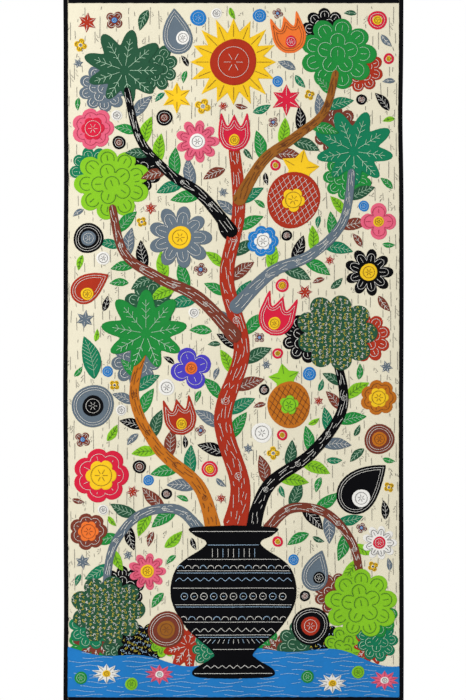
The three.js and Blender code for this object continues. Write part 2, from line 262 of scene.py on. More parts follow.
CLOTHS: dict[Cloth, ClothFinish] = {
    Cloth.CREAM: ClothFinish((231, 224, 199), Thread.CHARCOAL, slub=0.06, fade=0.03),
    Cloth.BLACK: ClothFinish((12, 12, 15), Thread.WHITE, Thread.ICE, 0.3, 0.2, 0.0, 0.03),
    Cloth.BLUE: ClothFinish((28, 122, 196), Thread.ICE),
    Cloth.DEEP: ClothFinish((36, 84, 58), Thread.MINT),
    Cloth.GREEN: ClothFinish((26, 136, 56), Thread.MINT),
    Cloth.JADE: ClothFinish((10, 120, 82), Thread.MINT),
    Cloth.LIME: ClothFinish((134, 198, 34), Thread.FOREST, slub=0.07),
    Cloth.RUST: ClothFinish((172, 46, 22), Thread.WHITE),
    Cloth.BROWN: ClothFinish((120, 54, 38), Thread.WHITE, Thread.MINT),
    Cloth.OCHRE: ClothFinish((150, 92, 30), Thread.UMBER),
    Cloth.TAN: ClothFinish((192, 110, 24), Thread.UMBER),
    Cloth.GREY: ClothFinish((98, 112, 124), Thread.WHITE),
    Cloth.YELLOW: ClothFinish((246, 200, 30), Thread.UMBER, slub=0.06),
    Cloth.VIOLET: ClothFinish((74, 62, 190), Thread.WHITE),
    Cloth.PINK: ClothFinish((228, 98, 126), Thread.CRIMSON, slub=0.07),
    Cloth.CRIMSON: ClothFinish((212, 28, 60), Thread.WHITE),
    Cloth.ORANGE: ClothFinish((240, 118, 46), Thread.UMBER, slub=0.07),
    Cloth.WHITE: ClothFinish((240, 238, 232), Thread.CHARCOAL, slub=0.05, fade=0.03),
}

THREADS: dict[Thread, ThreadFinish] = {
    Thread.WHITE: ThreadFinish((240, 238, 230)),
    Thread.MINT: ThreadFinish((184, 222, 190)),
    Thread.ICE: ThreadFinish((176, 210, 238)),
    Thread.GOLD: ThreadFinish((222, 204, 72)),
    Thread.CRIMSON: ThreadFinish((176, 20, 62)),
    Thread.FOREST: ThreadFinish((38, 96, 34)),
    Thread.UMBER: ThreadFinish((104, 48, 22)),
    Thread.CHARCOAL: ThreadFinish((72, 68, 68)),
}

CREASE_ROUND = 4.0  # how far a fold line's ridge is rounded
FOLD_LINES = (
    FoldLine(True, 0, 1.6, 18),
    FoldLine(False, -465, 1.2, 16),
    FoldLine(False, -930, 1.5, 16),
    FoldLine(False, -1395, 1.2, 16),
    FoldLine(False, -1560, 0.9, 12),
    FoldLine(False, -1687, 1.1, 12),
    FoldLine(False, -1748, 0.9, 12),
)

# Pulled wrinkles at the corners
PULLS = (
    Wrinkle(-404, -62, -38, 70, 11, 1.0),
    Wrinkle(-382, -96, -30, 60, 9, 0.8),
    Wrinkle(-414, -128, -62, 55, 9, 0.7),
    Wrinkle(410, -70, 40, 60, 10, 0.7),
    Wrinkle(-400, -1800, 35, 60, 10, 0.7),
    Wrinkle(402, -1788, -42, 66, 10, 0.8),
)

# Right half of the vase from the foot up: half width, z
VASE = (
    (0, -1800), (96, -1796), (106, -1776), (62, -1748), (56, -1728), (126, -1664), (166, -1585),
    (150, -1505), (82, -1454), (74, -1436), (104, -1420), (112, -1400), (0, -1394),
)

# Right half of a flower's cup with three points, as shares of its radius, from the foot up
CUP = ((0, -1), (0.5, -0.82), (0.8, -0.3), (0.78, 0.35), (0.66, 0.95), (0.42, 0.4), (0.28, 0.35), (0, 0.9))

# Cloths and figures taken in turn: leaves, the hedge, clumps behind the large ones, small figures
LEAVES = (Cloth.GREEN, Cloth.BROWN, Cloth.LIME, Cloth.DEEP, Cloth.BLACK, Cloth.GREEN, Cloth.GREY, Cloth.JADE)
HEDGE = (Cloth.GREEN, Cloth.BROWN, Cloth.DEEP, Cloth.BLACK, Cloth.LIME, Cloth.RUST, Cloth.JADE, Cloth.BROWN)
BEHIND = (Cloth.BLACK, Cloth.JADE, Cloth.BROWN, Cloth.GREEN, Cloth.GREY, Cloth.DEEP, Cloth.RUST, Cloth.BLACK)
BRIGHTS = (
    Cloth.RUST, Cloth.WHITE, Cloth.BROWN, Cloth.CRIMSON, Cloth.GREY, Cloth.BLUE, Cloth.YELLOW, Cloth.BLACK,
)
PADS = (Cloth.GREEN, Cloth.LIME)
LOTUSES = ((Cloth.WHITE, Cloth.YELLOW), (Cloth.PINK, Cloth.WHITE))
HEDGE_MOTIFS = (Motif.CLUMP, Motif.FAN, Motif.CLUMP, Motif.BUSH)
SCATTERED = (
    Motif.LEAF, Motif.STAR, Motif.LEAF, Motif.BERRY, Motif.LEAF, Motif.QUATRE, Motif.LEAF, Motif.COIN,
)


def linear(rgb: tuple[int, int, int]) -> tuple[float, ...]:
    """Turns a seen colour, each part from 0 to 255, into the shader's linear one with an alpha of 1."""
    light = (c / 12.92 if c <= 0.04045 else ((c + 0.055) / 1.055) ** 2.4 for c in (v / 255 for v in rgb))
    return (*(c * ALBEDO for c in light), 1.0)


def heading(degrees: float) -> tuple[float, float]:
    """Gives the cosine and sine of an angle in degrees."""
    return math.cos(math.radians(degrees)), math.sin(math.radians(degrees))


def measured(line: Array) -> Array:
    """Gives the distance along a line at each of its points."""
    return np.concatenate([[0], np.cumsum(np.hypot(*np.diff(line, axis=0).T))])


def read_at(places: Array | float, along: Array, rows: Array) -> Array:
    """Reads rows of x, z at places between those where they are known."""
    return np.stack([np.interp(places, along, rows[:, k]) for k in (0, 1)], -1)


def directions(line: Array) -> Array:
    """Gives the unit direction of a line at each of its points."""
    tangent = np.gradient(line, axis=0)
    return tangent / np.linalg.norm(tangent, axis=1)[:, None]


def inside_distance(points: Array, outline: Array, batch: int = 6000) -> Array:
    """Measures how far points lie inside a closed outline.

    Args:
        points: Rows of x, z.
        outline: Corners of the outline, rows of x, z.
        batch: How many points are measured at a time.

    Returns:
        Distance to the outline for each point, negative outside it.
    """
    start, end = outline, np.roll(outline, -1, axis=0)
    step = end - start
    square = np.maximum((step ** 2).sum(1), 1e-12)
    slope = np.where(np.abs(step[:, 1]) < 1e-9, 1e-9, step[:, 1])
    result = np.empty(len(points))
    for first in range(0, len(points), batch):
        part = points[first:first + batch, None, :]
        share = np.clip(((part - start) * step).sum(2) / square, 0, 1)
        away = np.sqrt((((part - start) - share[..., None] * step) ** 2).sum(2).min(1))
        x, z = part[..., 0], part[..., 1]
        spans = (start[:, 1] > z) != (end[:, 1] > z)
        crossings = spans & (x < step[:, 0] * (z - start[:, 1]) / slope + start[:, 0])
        result[first:first + batch] = np.where(crossings.sum(1) % 2 == 1, away, -away)
    return result


class Outline:
    """Closed outlines of the cut pieces, each as rows of x, z."""

    @staticmethod
    def turned(points: Array, degrees: float) -> Array:
        """Turns points anticlockwise about the origin."""
        c, s = heading(degrees)
        return points @ np.array([[c, s], [-s, c]])

    @staticmethod
    def lobed(radius: float, aspect: float = 1.0, lobes: int = 0, notch: float = 0.0, power: float = 0.7,
              lean: float = 0.0) -> Array:
        """Makes a round, plain or with lobes.

        Args:
            radius: Largest radius.
            aspect: Width over height.
            lobes: How many lobes, or 0 for a plain round.
            notch: Share of the radius cut in between lobes.
            power: Sharpness of each lobe.
            lean: Share by which the upper half is larger.

        Returns:
            The outline.
        """
        per_lobe = 4 * max(2, round(TURN * radius / max(lobes, 1) / 22)) if lobes else 1
        count = lobes * per_lobe if lobes else max(20, round(radius * 1.2))
        angle = np.arange(count) / count * TURN
        wave = np.abs(np.cos(lobes * angle / 2)) ** power if lobes else np.ones(count)
        uneven = 1 + HAND_CUT * (np.sin(2 * angle + lobes) + np.sin(3 * angle + radius))
        r = radius * (1 - notch + notch * wave) * (1 + lean * np.sin(angle)) * uneven
        return np.stack([r * np.cos(angle) * aspect, r * np.sin(angle)], 1)

    @staticmethod
    def star(radius: float, aspect: float, points: int, notch: float) -> Array:
        """Makes a star.

        Args:
            radius: Radius of its points.
            aspect: Width over height.
            points: How many points.
            notch: Share of the radius by which the inner corners lie in.

        Returns:
            The outline.
        """
        corner = np.arange(2 * points)
        angle = corner / (2 * points) * TURN + math.pi / 2
        uneven = 1 + 2 * HAND_CUT * np.sin(2.4 * corner + points)
        r = np.where(corner % 2 == 1, radius * (1 - notch), radius) * uneven
        return np.stack([r * np.cos(angle) * aspect, r * np.sin(angle)], 1)

    @staticmethod
    def leaf(length: float, width: float, bend: float) -> Array:
        """Makes a pointed leaf from its stalk at the origin upwards.

        Args:
            length: Its length.
            width: Its width.
            bend: How far its middle lies to the right, as a share of its length.

        Returns:
            The outline.
        """
        share = np.linspace(0, 1, max(12, round(length / 4)))
        half = width / 2 * np.maximum(np.sin(math.pi * share ** 0.85), 0) ** 0.9
        middle = bend * length * np.sin(math.pi * share)
        right = np.stack([middle + half, share * length], 1)
        left = np.stack([middle - half, share * length], 1)[1:-1][::-1]
        return np.concatenate([right, left])

    @staticmethod
    def paisley(length: float, width: float, corners: int = 44) -> Array:
        """Makes a drop with a curled tip, its round end at the bottom.

        Args:
            length: Its length.
            width: Its width.
            corners: How many corners it has.

        Returns:
            The outline.
        """
        angle = np.arange(corners) / corners * TURN
        share = (1 - np.cos(angle)) / 2
        half = width / 2 * np.sin(angle) * (1 - share) ** 0.35 * 1.25
        x = half + 0.3 * length * share ** 3 - 0.1 * length
        return np.stack([x, share * length - 0.1 * length * share ** 4], 1)

    @staticmethod
    def smooth(route: tuple | Array, steps: int) -> Array:
        """Draws a smooth line through points.

        Args:
            route: The points, as x, z.
            steps: In how many steps it runs between each two.

        Returns:
            The line.
        """
        given = np.array(route, float)
        padded = np.concatenate([given[:1], given, given[-1:]])
        line = []
        for a, b, c, d in zip(padded, padded[1:], padded[2:], padded[3:]):
            for k in range(steps):
                t = k / steps
                line.append(0.5 * (2 * b + (c - a) * t + (2 * a - 5 * b + 4 * c - d) * t * t
                                   + (3 * b - a - 3 * c + d) * t ** 3))
        return np.array(line + [given[-1]])

    @staticmethod
    def mirrored(right: Array) -> Array:
        """Closes a right half, given from the bottom up, with its mirror image."""
        return np.concatenate([right, (right * [-1, 1])[1:-1][::-1]])

    @classmethod
    def of(cls, layer: Layer, size: float) -> Array:
        """Makes the outline of a layer about its own origin, its radius or length given."""
        makers: dict[Shape, Callable[[], Array]] = {
            Shape.LOBED: lambda: cls.lobed(size, layer.aspect, layer.lobes, layer.notch),
            Shape.PALM: lambda: cls.lobed(size, layer.aspect, layer.lobes, layer.notch, 1.6, 0.12),
            Shape.ROUND: lambda: cls.lobed(size, layer.aspect),
            Shape.STAR: lambda: cls.star(size, layer.aspect, layer.lobes, layer.notch),
            Shape.LEAF: lambda: cls.leaf(size, size * layer.aspect, layer.notch),
            Shape.PAISLEY: lambda: cls.paisley(size, size * layer.aspect),
            Shape.TULIP: lambda: cls.mirrored(cls.smooth(np.array(CUP) * size, 5)),
        }
        return makers[layer.shape]()

    @staticmethod
    def spaced(outline: Array, step: float) -> Array:
        """Adds points to the long edges of an outline.

        Args:
            outline: The outline.
            step: Length that no edge then exceeds.

        Returns:
            The outline with the added points.
        """
        rows = []
        for a, b in zip(outline, np.roll(outline, -1, axis=0)):
            count = max(1, math.ceil(float(np.hypot(*(b - a))) / step))
            rows += [a + (b - a) * k / count for k in range(count)]
        return np.array(rows)

    @staticmethod
    def normals(outline: Array) -> Array:
        """Finds which way is outwards along an outline.

        Args:
            outline: The outline, anticlockwise.

        Returns:
            The outward unit normal at each corner.
        """
        before = outline - np.roll(outline, 1, axis=0)
        after = np.roll(outline, -1, axis=0) - outline
        before = before / np.linalg.norm(before, axis=1)[:, None]
        total = before + after / np.linalg.norm(after, axis=1)[:, None]
        total = np.stack([total[:, 1], -total[:, 0]], 1)
        return total / np.maximum(np.linalg.norm(total, axis=1), 1e-9)[:, None]


@dataclass(frozen=True)
class Stem:
    """A stem or branch of the tree.

    Attributes:
        name: Its name.
        cloth: Its cloth.
        foot: Width at the foot.
        tip: Width at the tip.
        route: Middle line from the foot to the tip, as x, z.
    """

    name: str
    cloth: Cloth
    foot: float
    tip: float
    route: tuple[tuple[float, float], ...]

    def half(self, share: Array | float) -> Array | float:
        """Gives half the width at a share of the way up."""
        return (self.foot + (self.tip - self.foot) * share) / 2


@dataclass(frozen=True)
class Figure:
    """The kind, place and cloths of one figure.

    Attributes:
        name: Its name.
        motif: Which layers it has.
        x: Its centre across.
        z: Its centre up.
        size: Its radius.
        turn: Its turn anticlockwise in degrees.
        cloth: Its cloth.
        second: Its second cloth, where a layer has one.
        group: Name of the group whose pieces of one cloth share an object, if any.
    """

    name: str
    motif: Motif
    x: float
    z: float
    size: float
    turn: float
    cloth: Cloth
    second: Cloth | None = None
    group: str = ""

    def place(self, line: Array, rise: float) -> Array:
        """Moves a line from the origin of a layer at a rise to where it lies on the hanging."""
        return Outline.turned(line + [0, rise * self.size], self.turn) + [self.x, self.z]


STEMS = (
    Stem("stem_low_left", Cloth.GREY, 28, 20,
         ((-86, -1410), (-150, -1352), (-250, -1368), (-318, -1450), (-338, -1560))),
    Stem("stem_low_right", Cloth.BROWN, 28, 20,
         ((86, -1410), (150, -1350), (245, -1362), (314, -1440), (338, -1545))),
    Stem("stem_left", Cloth.TAN, 38, 22,
         ((-51, -1410), (-92, -1290), (-200, -1190), (-262, -1060), (-240, -930))),
    Stem("stem_right", Cloth.BLACK, 38, 22,
         ((48, -1410), (92, -1290), (210, -1200), (290, -1080), (272, -950))),
    Stem("stem_trunk", Cloth.RUST, 56, 30,
         ((-2, -1410), (18, -1290), (-28, -1110), (22, -930), (-18, -740), (14, -560), (0, -385))),
    Stem("branch_left", Cloth.BROWN, 36, 20,
         ((14, -905), (-92, -792), (-200, -738), (-290, -672), (-322, -545))),
    Stem("branch_right", Cloth.GREY, 36, 20,
         ((-4, -828), (100, -725), (205, -678), (290, -590), (314, -450))),
    Stem("branch_top_left", Cloth.BLACK, 32, 18,
         ((4, -628), (-85, -520), (-170, -462), (-248, -372), (-284, -235))),
    Stem("branch_top_right", Cloth.OCHRE, 32, 18,
         ((8, -545), (78, -430), (160, -368), (240, -300), (272, -190))),
)

# Figures that the branches cover in part
BACKED_FIGURES = tuple(Figure(*row) for row in (
    ("clump_mid_left", Motif.CLUMP, -322, -490, 96, 20, Cloth.LIME),
    ("clump_mid_right", Motif.FAN, 318, -404, 100, -8, Cloth.JADE),
    ("clump_top_left", Motif.FAN, -288, -190, 100, 0, Cloth.DEEP),
    ("clump_top_right", Motif.CLUMP, 276, -146, 96, 0, Cloth.GREEN),
))

FIGURES = tuple(Figure(*row) for row in (
    ("clump_low_left", Motif.BUSH, -332, -1618, 94, 0, Cloth.DEEP),
    ("clump_low_right", Motif.CLUMP, 338, -1602, 92, 10, Cloth.LIME),
    ("clump_left", Motif.FAN, -232, -886, 106, 10, Cloth.GREEN),
    ("clump_right", Motif.BUSH, 272, -884, 102, 0, Cloth.DEEP),
    ("sun", Motif.SUN, 0, -168, 118, 0, Cloth.YELLOW, Cloth.RUST),
    ("bud", Motif.TULIP, 2, -352, 52, 0, Cloth.CRIMSON, Cloth.YELLOW),
    ("fruit_upper", Motif.FRUIT, 160, -524, 88, -12, Cloth.RUST, Cloth.YELLOW),
    ("daisy_left", Motif.DAISY, -142, -632, 84, 0, Cloth.GREY, Cloth.YELLOW),
    ("paisley_right", Motif.PAISLEY, 348, -1292, 80, -18, Cloth.BLACK, Cloth.WHITE),
    ("rose_left", Motif.ROSE, -350, -1262, 74, 0, Cloth.CRIMSON, Cloth.YELLOW),
    ("fruit_right", Motif.FRUIT, 146, -1068, 72, 10, Cloth.TAN, Cloth.LIME),
    ("daisy_right", Motif.DAISY, 358, -724, 64, 0, Cloth.BLACK, Cloth.YELLOW),
    ("daisy_upper", Motif.DAISY, -96, -378, 58, 0, Cloth.PINK, Cloth.WHITE),
    ("paisley_top", Motif.PAISLEY, -148, -84, 60, 35, Cloth.GREY, Cloth.WHITE),
    ("rose_upper", Motif.ROSE, -372, -344, 56, 0, Cloth.PINK, Cloth.CRIMSON),
    ("coin_left", Motif.COIN, -372, -1078, 56, 0, Cloth.GREY, Cloth.BLACK),
    ("quatre_left", Motif.QUATRE, -112, -978, 56, 20, Cloth.VIOLET, Cloth.ORANGE),
    ("coin_low", Motif.COIN, -178, -1670, 48, 0, Cloth.BROWN, Cloth.OCHRE),
    ("paisley_left", Motif.PAISLEY, -376, -762, 56, -30, Cloth.RUST, Cloth.YELLOW),
    ("tulip_right", Motif.TULIP, 116, -836, 58, -18, Cloth.CRIMSON, Cloth.YELLOW),
    ("tulip_top", Motif.TULIP, 146, -92, 54, 16, Cloth.ORANGE, Cloth.CRIMSON),
    ("rose_low_left", Motif.ROSE, -384, -1410, 50, 0, Cloth.BROWN, Cloth.ORANGE),
    ("leaf_left", Motif.LEAF, -382, -950, 56, 14, Cloth.JADE),
    ("paisley_low", Motif.PAISLEY, 222, -1512, 54, 12, Cloth.GREY, Cloth.BLACK),
    ("rose_right", Motif.ROSE, 384, -1056, 48, 0, Cloth.TAN, Cloth.YELLOW),
    ("quatre_right", Motif.QUATRE, 384, -590, 48, 0, Cloth.PINK, Cloth.YELLOW),
    ("daisy_low_right", Motif.DAISY, 386, -1440, 46, 0, Cloth.WHITE, Cloth.CRIMSON),
    ("daisy_low_left", Motif.DAISY, -228, -1516, 50, 0, Cloth.PINK, Cloth.YELLOW),
    ("tulip_left", Motif.TULIP, -142, -1104, 52, 12, Cloth.RUST, Cloth.YELLOW),
    ("coin_mid_left", Motif.COIN, -384, -634, 40, 0, Cloth.BLACK, Cloth.GREY),
    ("coin_mid_right", Motif.COIN, 386, -1166, 40, 0, Cloth.BROWN, Cloth.TAN),
    ("star_upper_left", Motif.STAR, -150, -262, 42, 0, Cloth.YELLOW),
    ("star_upper_right", Motif.STAR, 140, -268, 42, 0, Cloth.CRIMSON),
    ("rose_middle", Motif.ROSE, 78, -642, 42, 0, Cloth.BLUE, Cloth.WHITE),
    ("coin_low_right", Motif.COIN, 204, -1660, 50, 0, Cloth.BLACK, Cloth.RUST),
))


@dataclass
class Drape:
    """Depth of the hanging cloth: soft upright waves, fold lines and small wrinkles.

    Attributes:
        top: Height of the waves at the top edge.
        bottom: Height of the waves at the bottom edge.
        seed: Seed of the scattered wrinkles.
        scattered: How many wrinkles are scattered.
        setback: How far the face lies behind the mount's plane at the middle of the top.
        wrinkles: All the wrinkles.
        at_mount: Depth that is taken off everywhere.
    """

    top: float = 1.0
    bottom: float = 3.6
    seed: int = 11
    scattered: int = 70
    setback: float = 0.75
    wrinkles: list[Wrinkle] = field(default_factory=list)
    at_mount: float = 0.0

    # Limits of a scattered wrinkle's place, turn, length, width and height
    SPREAD = ((-430, 430), (-1830, -30), (-90, 90), (35, 95), (8, 15), (0.25, 0.6))

    def __post_init__(self) -> None:
        """Scatters the small wrinkles and sets the depth at the mount."""
        chance = np.random.default_rng(self.seed)
        rows = [Wrinkle(*(chance.uniform(*limits) for limits in self.SPREAD)) for _ in range(self.scattered)]
        self.wrinkles = [*PULLS, *rows]
        self.at_mount = float(self.front(np.zeros(1), np.zeros(1))[0]) + self.setback

    def front(self, x: Array, z: Array) -> Array:
        """Finds the depth of the ground's front face.

        Args:
            x: Places across.
            z: Places up.

        Returns:
            Its y in millimetres, less towards the viewer.
        """
        swell = self.top + (self.bottom - self.top) * (-z / HEIGHT)
        broad = np.sin(TURN * x / 262 + 0.5 + 0.5 * np.sin(TURN * z / 1500))
        narrow = 0.4 * np.sin(TURN * x / 149 + 2 + z / 520)
        y = swell * (broad + narrow)
        for line in FOLD_LINES:
            away = np.hypot((x if line.upright else z) - line.at, CREASE_ROUND) - CREASE_ROUND
            y = y - line.height * np.exp(-away / line.reach)
        for fold in self.wrinkles:
            c, s = heading(fold.degrees)
            along, across = (x - fold.x) * c + (z - fold.z) * s, (z - fold.z) * c - (x - fold.x) * s
            y = y - fold.height * np.exp(-(along / fold.length) ** 2 - (across / fold.width) ** 2)
        return y - self.at_mount

    def place(self, x: Array, z: Array, lift: Array | float) -> Array:
        """Gives points in metres at a lift in millimetres in front of the ground's face."""
        return np.stack([x, self.front(x, z) - lift, z], 1) * MM

    @staticmethod
    def stray(side: Side, along: Array) -> Array:
        """Finds how far an outer edge strays outwards.

        Args:
            side: The edge.
            along: Places along it.

        Returns:
            How far it strays at each place.
        """
        if side is Side.RIGHT:
            return 0.6 * np.sin(along / 151) - 2.0 * np.exp(-((along + 320) / 110) ** 2)
        if side is Side.LEFT:
            return 0.8 * np.sin(along / 173 + 1) + 0.3 * np.sin(along / 61)
        return 0.5 * np.sin(along / 139 + 0.4)


class Relief:
    """Raster of what lies on the ground: the height of the top surface and whose it is."""

    CELL = 1.5
    MARGIN = 9.0

    def __init__(self) -> None:
        """Makes an empty raster over the whole hanging."""
        self.left, self.top = -WIDTH / 2 - self.MARGIN, self.MARGIN
        shape = tuple(round((size + 2 * self.MARGIN) / self.CELL) + 1 for size in (HEIGHT, WIDTH))
        self.height = np.zeros(shape)
        self.owner = np.zeros(shape, int)

    def window(self, outline: Array) -> tuple[slice, slice]:
        """Finds the part of the raster around an outline.

        Args:
            outline: The outline.

        Returns:
            Its rows and columns.
        """
        low, high = outline.min(0) - self.MARGIN, outline.max(0) + self.MARGIN
        spans = ((low[0] - self.left, high[0] - self.left), (self.top - high[1], self.top - low[1]))
        columns, rows = (slice(max(int(a / self.CELL), 0), int(b / self.CELL) + 1) for a, b in spans)
        return rows, columns

    def bedding(self, window: tuple[slice, slice]) -> Array:
        """Finds how a further cloth would bed down, softened over the edges below.

        Args:
            window: Rows and columns of the raster.

        Returns:
            The height of its underside at each cell.
        """
        part = self.height[window]
        for axis in (0, 1):
            part = np.maximum.reduce([np.roll(part, k, axis) for k in (-2, -1, 0, 1, 2)])
        for axis in (0, 1, 0, 1):
            part = sum(np.roll(part, k, axis) for k in (-2, -1, 0, 1, 2)) / 5
        return part

    def sample(self, values: Array, points: Array, window: tuple[slice, slice]) -> Array:
        """Reads values between their cells.

        Args:
            values: A value for each cell of a window.
            points: Where to read, rows of x, z.
            window: Rows and columns of the window.

        Returns:
            The value at each point.
        """
        u = (points[:, 0] - self.left) / self.CELL - window[1].start
        v = (self.top - points[:, 1]) / self.CELL - window[0].start
        u, v = np.clip(u, 0, values.shape[1] - 1.001), np.clip(v, 0, values.shape[0] - 1.001)
        i, j = u.astype(int), v.astype(int)
        fu, fv = u - i, v - j
        return ((values[j, i] * (1 - fu) + values[j, i + 1] * fu) * (1 - fv)
                + (values[j + 1, i] * (1 - fu) + values[j + 1, i + 1] * fu) * fv)

    def lift(self, points: Array) -> Array:
        """Gives the height of the top surface at points in x, z."""
        return self.sample(self.height, points, (slice(0, None), slice(0, None)))

    def owners(self, points: Array) -> Array:
        """Gives the number of the piece that shows at points in x, z, or 0 for the ground."""
        limits = zip(((self.top - points[:, 1]), (points[:, 0] - self.left)), self.owner.shape)
        return self.owner[tuple(np.clip((away / self.CELL).round().astype(int), 0, size - 1)
                                for away, size in limits)]


class NodeBench:
    """Adds nodes and links to one node tree."""

    def __init__(self, tree: NodeTree) -> None:
        """Keeps the tree that the nodes go in."""
        self.tree = tree

    def join(self, target: NodeSocket, source: object) -> None:
        """Links a socket to an input, or sets the input to a value.

        Args:
            target: The input.
            source: The socket or value.
        """
        if isinstance(source, NodeSocket):
            self.tree.links.new(source, target)
        else:
            target.default_value = source

    def add(self, kind: str, inputs: dict | None = None, **settings: object) -> Node:
        """Adds a node.

        Args:
            kind: Blender's name of the node.
            inputs: Values or sockets for its inputs, by name or number.
            settings: Properties of the node.

        Returns:
            The node.
        """
        node = self.tree.nodes.new(kind)
        for key, value in settings.items():
            setattr(node, key, value)
        for key, value in (inputs or {}).items():
            self.join(node.inputs[key], value)
        return node

    def sum(self, operation: str, *values: object) -> NodeSocket:
        """Adds a math node and gives its result."""
        return self.add("ShaderNodeMath", dict(enumerate(values)), operation=operation).outputs[0]

    def attribute(self, name: str) -> NodeSocket:
        """Reads a number that the surface carries."""
        return self.add("ShaderNodeAttribute", attribute_name=name).outputs["Fac"]

    def noise(self, place: NodeSocket, scale: float, detail: float = 2.0,
              roughness: float = 0.5) -> NodeSocket:
        """Adds a noise texture with finer layers as strong as its roughness, and gives its value."""
        inputs = {"Vector": place, "Scale": scale, "Detail": detail, "Roughness": roughness}
        return self.add("ShaderNodeTexNoise", inputs).outputs[0]


class Dyehouse:
    """Makes the materials, and once each the shader groups that they share."""

    WEAVE_PITCH = 0.0007

    def __init__(self) -> None:
        """Builds the shared groups."""
        self.weave = self._weave_group()
        self.wash_and_shade = self._wash_group()

    @staticmethod
    def _group(name: str, inputs: dict[str, float], outputs: tuple[str, str]) -> tuple[NodeBench, Sockets]:
        """Makes an empty shader group with a place and named numbers for its inputs.

        Args:
            name: Name of the group.
            inputs: Default of each number.
            outputs: Names of its outputs, all numbers.

        Returns:
            A bench on the group's tree, and the group's inputs by name.
        """
        tree = bpy.data.node_groups.new(name, "ShaderNodeTree")
        tree.interface.new_socket("Place", in_out="INPUT", socket_type="NodeSocketVector")
        for label, default in inputs.items():
            socket = tree.interface.new_socket(label, in_out="INPUT", socket_type="NodeSocketFloat")
            socket.default_value = default
        for label in outputs:
            tree.interface.new_socket(label, in_out="OUTPUT", socket_type="NodeSocketFloat")
        bench = NodeBench(tree)
        return bench, bench.add("NodeGroupInput").outputs

    def _weave_group(self) -> NodeTree:
        """Builds plain weave: raised crossings, and thick and thin yarns both ways.

        Returns:
            The group.
        """
        bench, start = self._group("Plain weave", {"Pitch": 0.00065}, ("Height", "Slub"))
        axes = bench.add("ShaderNodeSeparateXYZ", {0: start["Place"]}).outputs
        rate = bench.sum("DIVIDE", math.pi, start["Pitch"])
        warp, weft = (bench.sum("SINE", bench.sum("MULTIPLY", axes[k], rate)) for k in (0, 2))
        cross = bench.sum("MULTIPLY_ADD", bench.sum("MULTIPLY", warp, weft), 0.5, 0.5)
        yarns = []
        for stretch in ((620.0, 1.0, 26.0), (26.0, 1.0, 620.0)):
            drawn = bench.add("ShaderNodeVectorMath", {0: start["Place"], 1: stretch}, operation="MULTIPLY")
            yarns.append(bench.noise(drawn.outputs[0], 1.0))
        slub = bench.sum("MULTIPLY", bench.sum("ADD", *yarns), 0.5)
        bench.add("NodeGroupOutput", {"Height": bench.sum("MULTIPLY_ADD", slub, 0.8, cross), "Slub": slub})
        return bench.tree

    def _wash_group(self) -> NodeTree:
        """Builds a tone that drifts with washing, painted shade that darkens the turned edges (more where
        they crease), and soft creasing.

        Returns:
            The group.
        """
        numbers = {"Hem": 0, "Slub": 0.5, "Slub depth": 0.1, "Fade": 0.05}
        bench, start = self._group("Washed cloth", numbers, ("Tone", "Crease"))
        drift = bench.noise(start["Place"], 11.0, 3.0)
        creases = bench.noise(start["Place"], 70.0, 4.0, 0.6)
        faded = bench.sum("MULTIPLY", bench.sum("SUBTRACT", drift, 0.5), start["Fade"])
        yarn = bench.sum("MULTIPLY", bench.sum("SUBTRACT", start["Slub"], 0.5), start["Slub depth"])
        # Painted shade: the tone is darkened along the turned edge, more where the crease noise is high
        edge = bench.sum("MULTIPLY", start["Hem"], bench.sum("MULTIPLY_ADD", creases, 0.1, 0.03))
        tone = bench.sum("ADD", 1.0, bench.sum("MULTIPLY", bench.sum("ADD", faded, yarn), 2.0))
        bench.add("NodeGroupOutput", {"Tone": bench.sum("SUBTRACT", tone, edge), "Crease": creases})
        return bench.tree

    @staticmethod
    def surface(name: str, roughness: float, sheen: float = 0.0, gloss: float = 0.5,
                rgb: tuple[int, int, int] | None = None) -> tuple[Material, NodeBench, Sockets]:
        """Makes a material with one Principled surface whose plain numbers are set on it.

        Args:
            name: Name of the material.
            roughness: Its roughness.
            sheen: Weight of its sheen.
            gloss: Its specular level.
            rgb: Its colour as it is seen, if that is plain.

        Returns:
            The material, a bench on its tree and the inputs of its surface.
        """
        material = bpy.data.materials.new(name)
        material.use_nodes = True
        surface = material.node_tree.nodes["Principled BSDF"].inputs
        numbers = {"Roughness": roughness, "Specular IOR Level": gloss, "Sheen Weight": sheen,
                   "Sheen Roughness": 0.6}
        for label, value in numbers.items():
            surface[label].default_value = value
        if rgb:
            surface["Base Color"].default_value = linear(rgb)
        return material, NodeBench(material.node_tree), surface

    @cache
    def cloth(self, cloth: Cloth) -> Material:
        """Gives the material of a cloth, made at its first use.

        Args:
            cloth: The cloth.

        Returns:
            Its material.
        """
        finish = CLOTHS[cloth]
        material, bench, surface = self.surface(f"cotton_{cloth.label}", 0.88, finish.sheen, finish.gloss)
        place = bench.add("ShaderNodeTexCoord").outputs["Object"]
        spin = {"Vector": place, "Angle": bench.attribute("grain")}
        turned = bench.add("ShaderNodeVectorRotate", spin, rotation_type="Y_AXIS")
        woven = {"Place": turned.outputs[0], "Pitch": self.WEAVE_PITCH}
        weave = bench.add("ShaderNodeGroup", woven, node_tree=self.weave).outputs
        # Painted shade: each piece's turned edge is darkened through the group's edge input
        wash_and_shade_inputs = {"Place": place, "Hem": bench.attribute("hem"), "Slub": weave["Slub"],
                  "Slub depth": finish.slub, "Fade": finish.fade}
        wash_and_shade = bench.add("ShaderNodeGroup", wash_and_shade_inputs, node_tree=self.wash_and_shade).outputs
        tone = bench.sum("ADD", wash_and_shade["Tone"], bench.attribute("tint"))
        shade = {0: linear(finish.rgb)[:3], "Scale": tone}
        colour = bench.add("ShaderNodeVectorMath", shade, operation="SCALE")
        bench.join(surface["Base Color"], colour.outputs[0])
        fine = bench.add("ShaderNodeBump", {"Height": weave["Height"], "Strength": 0.7, "Distance": 0.0002})
        soft = bench.add("ShaderNodeBump", {
            "Height": wash_and_shade["Crease"], "Strength": 0.6, "Distance": 0.0016, "Normal": fine.outputs[0]})
        bench.join(surface["Normal"], soft.outputs[0])
        return material

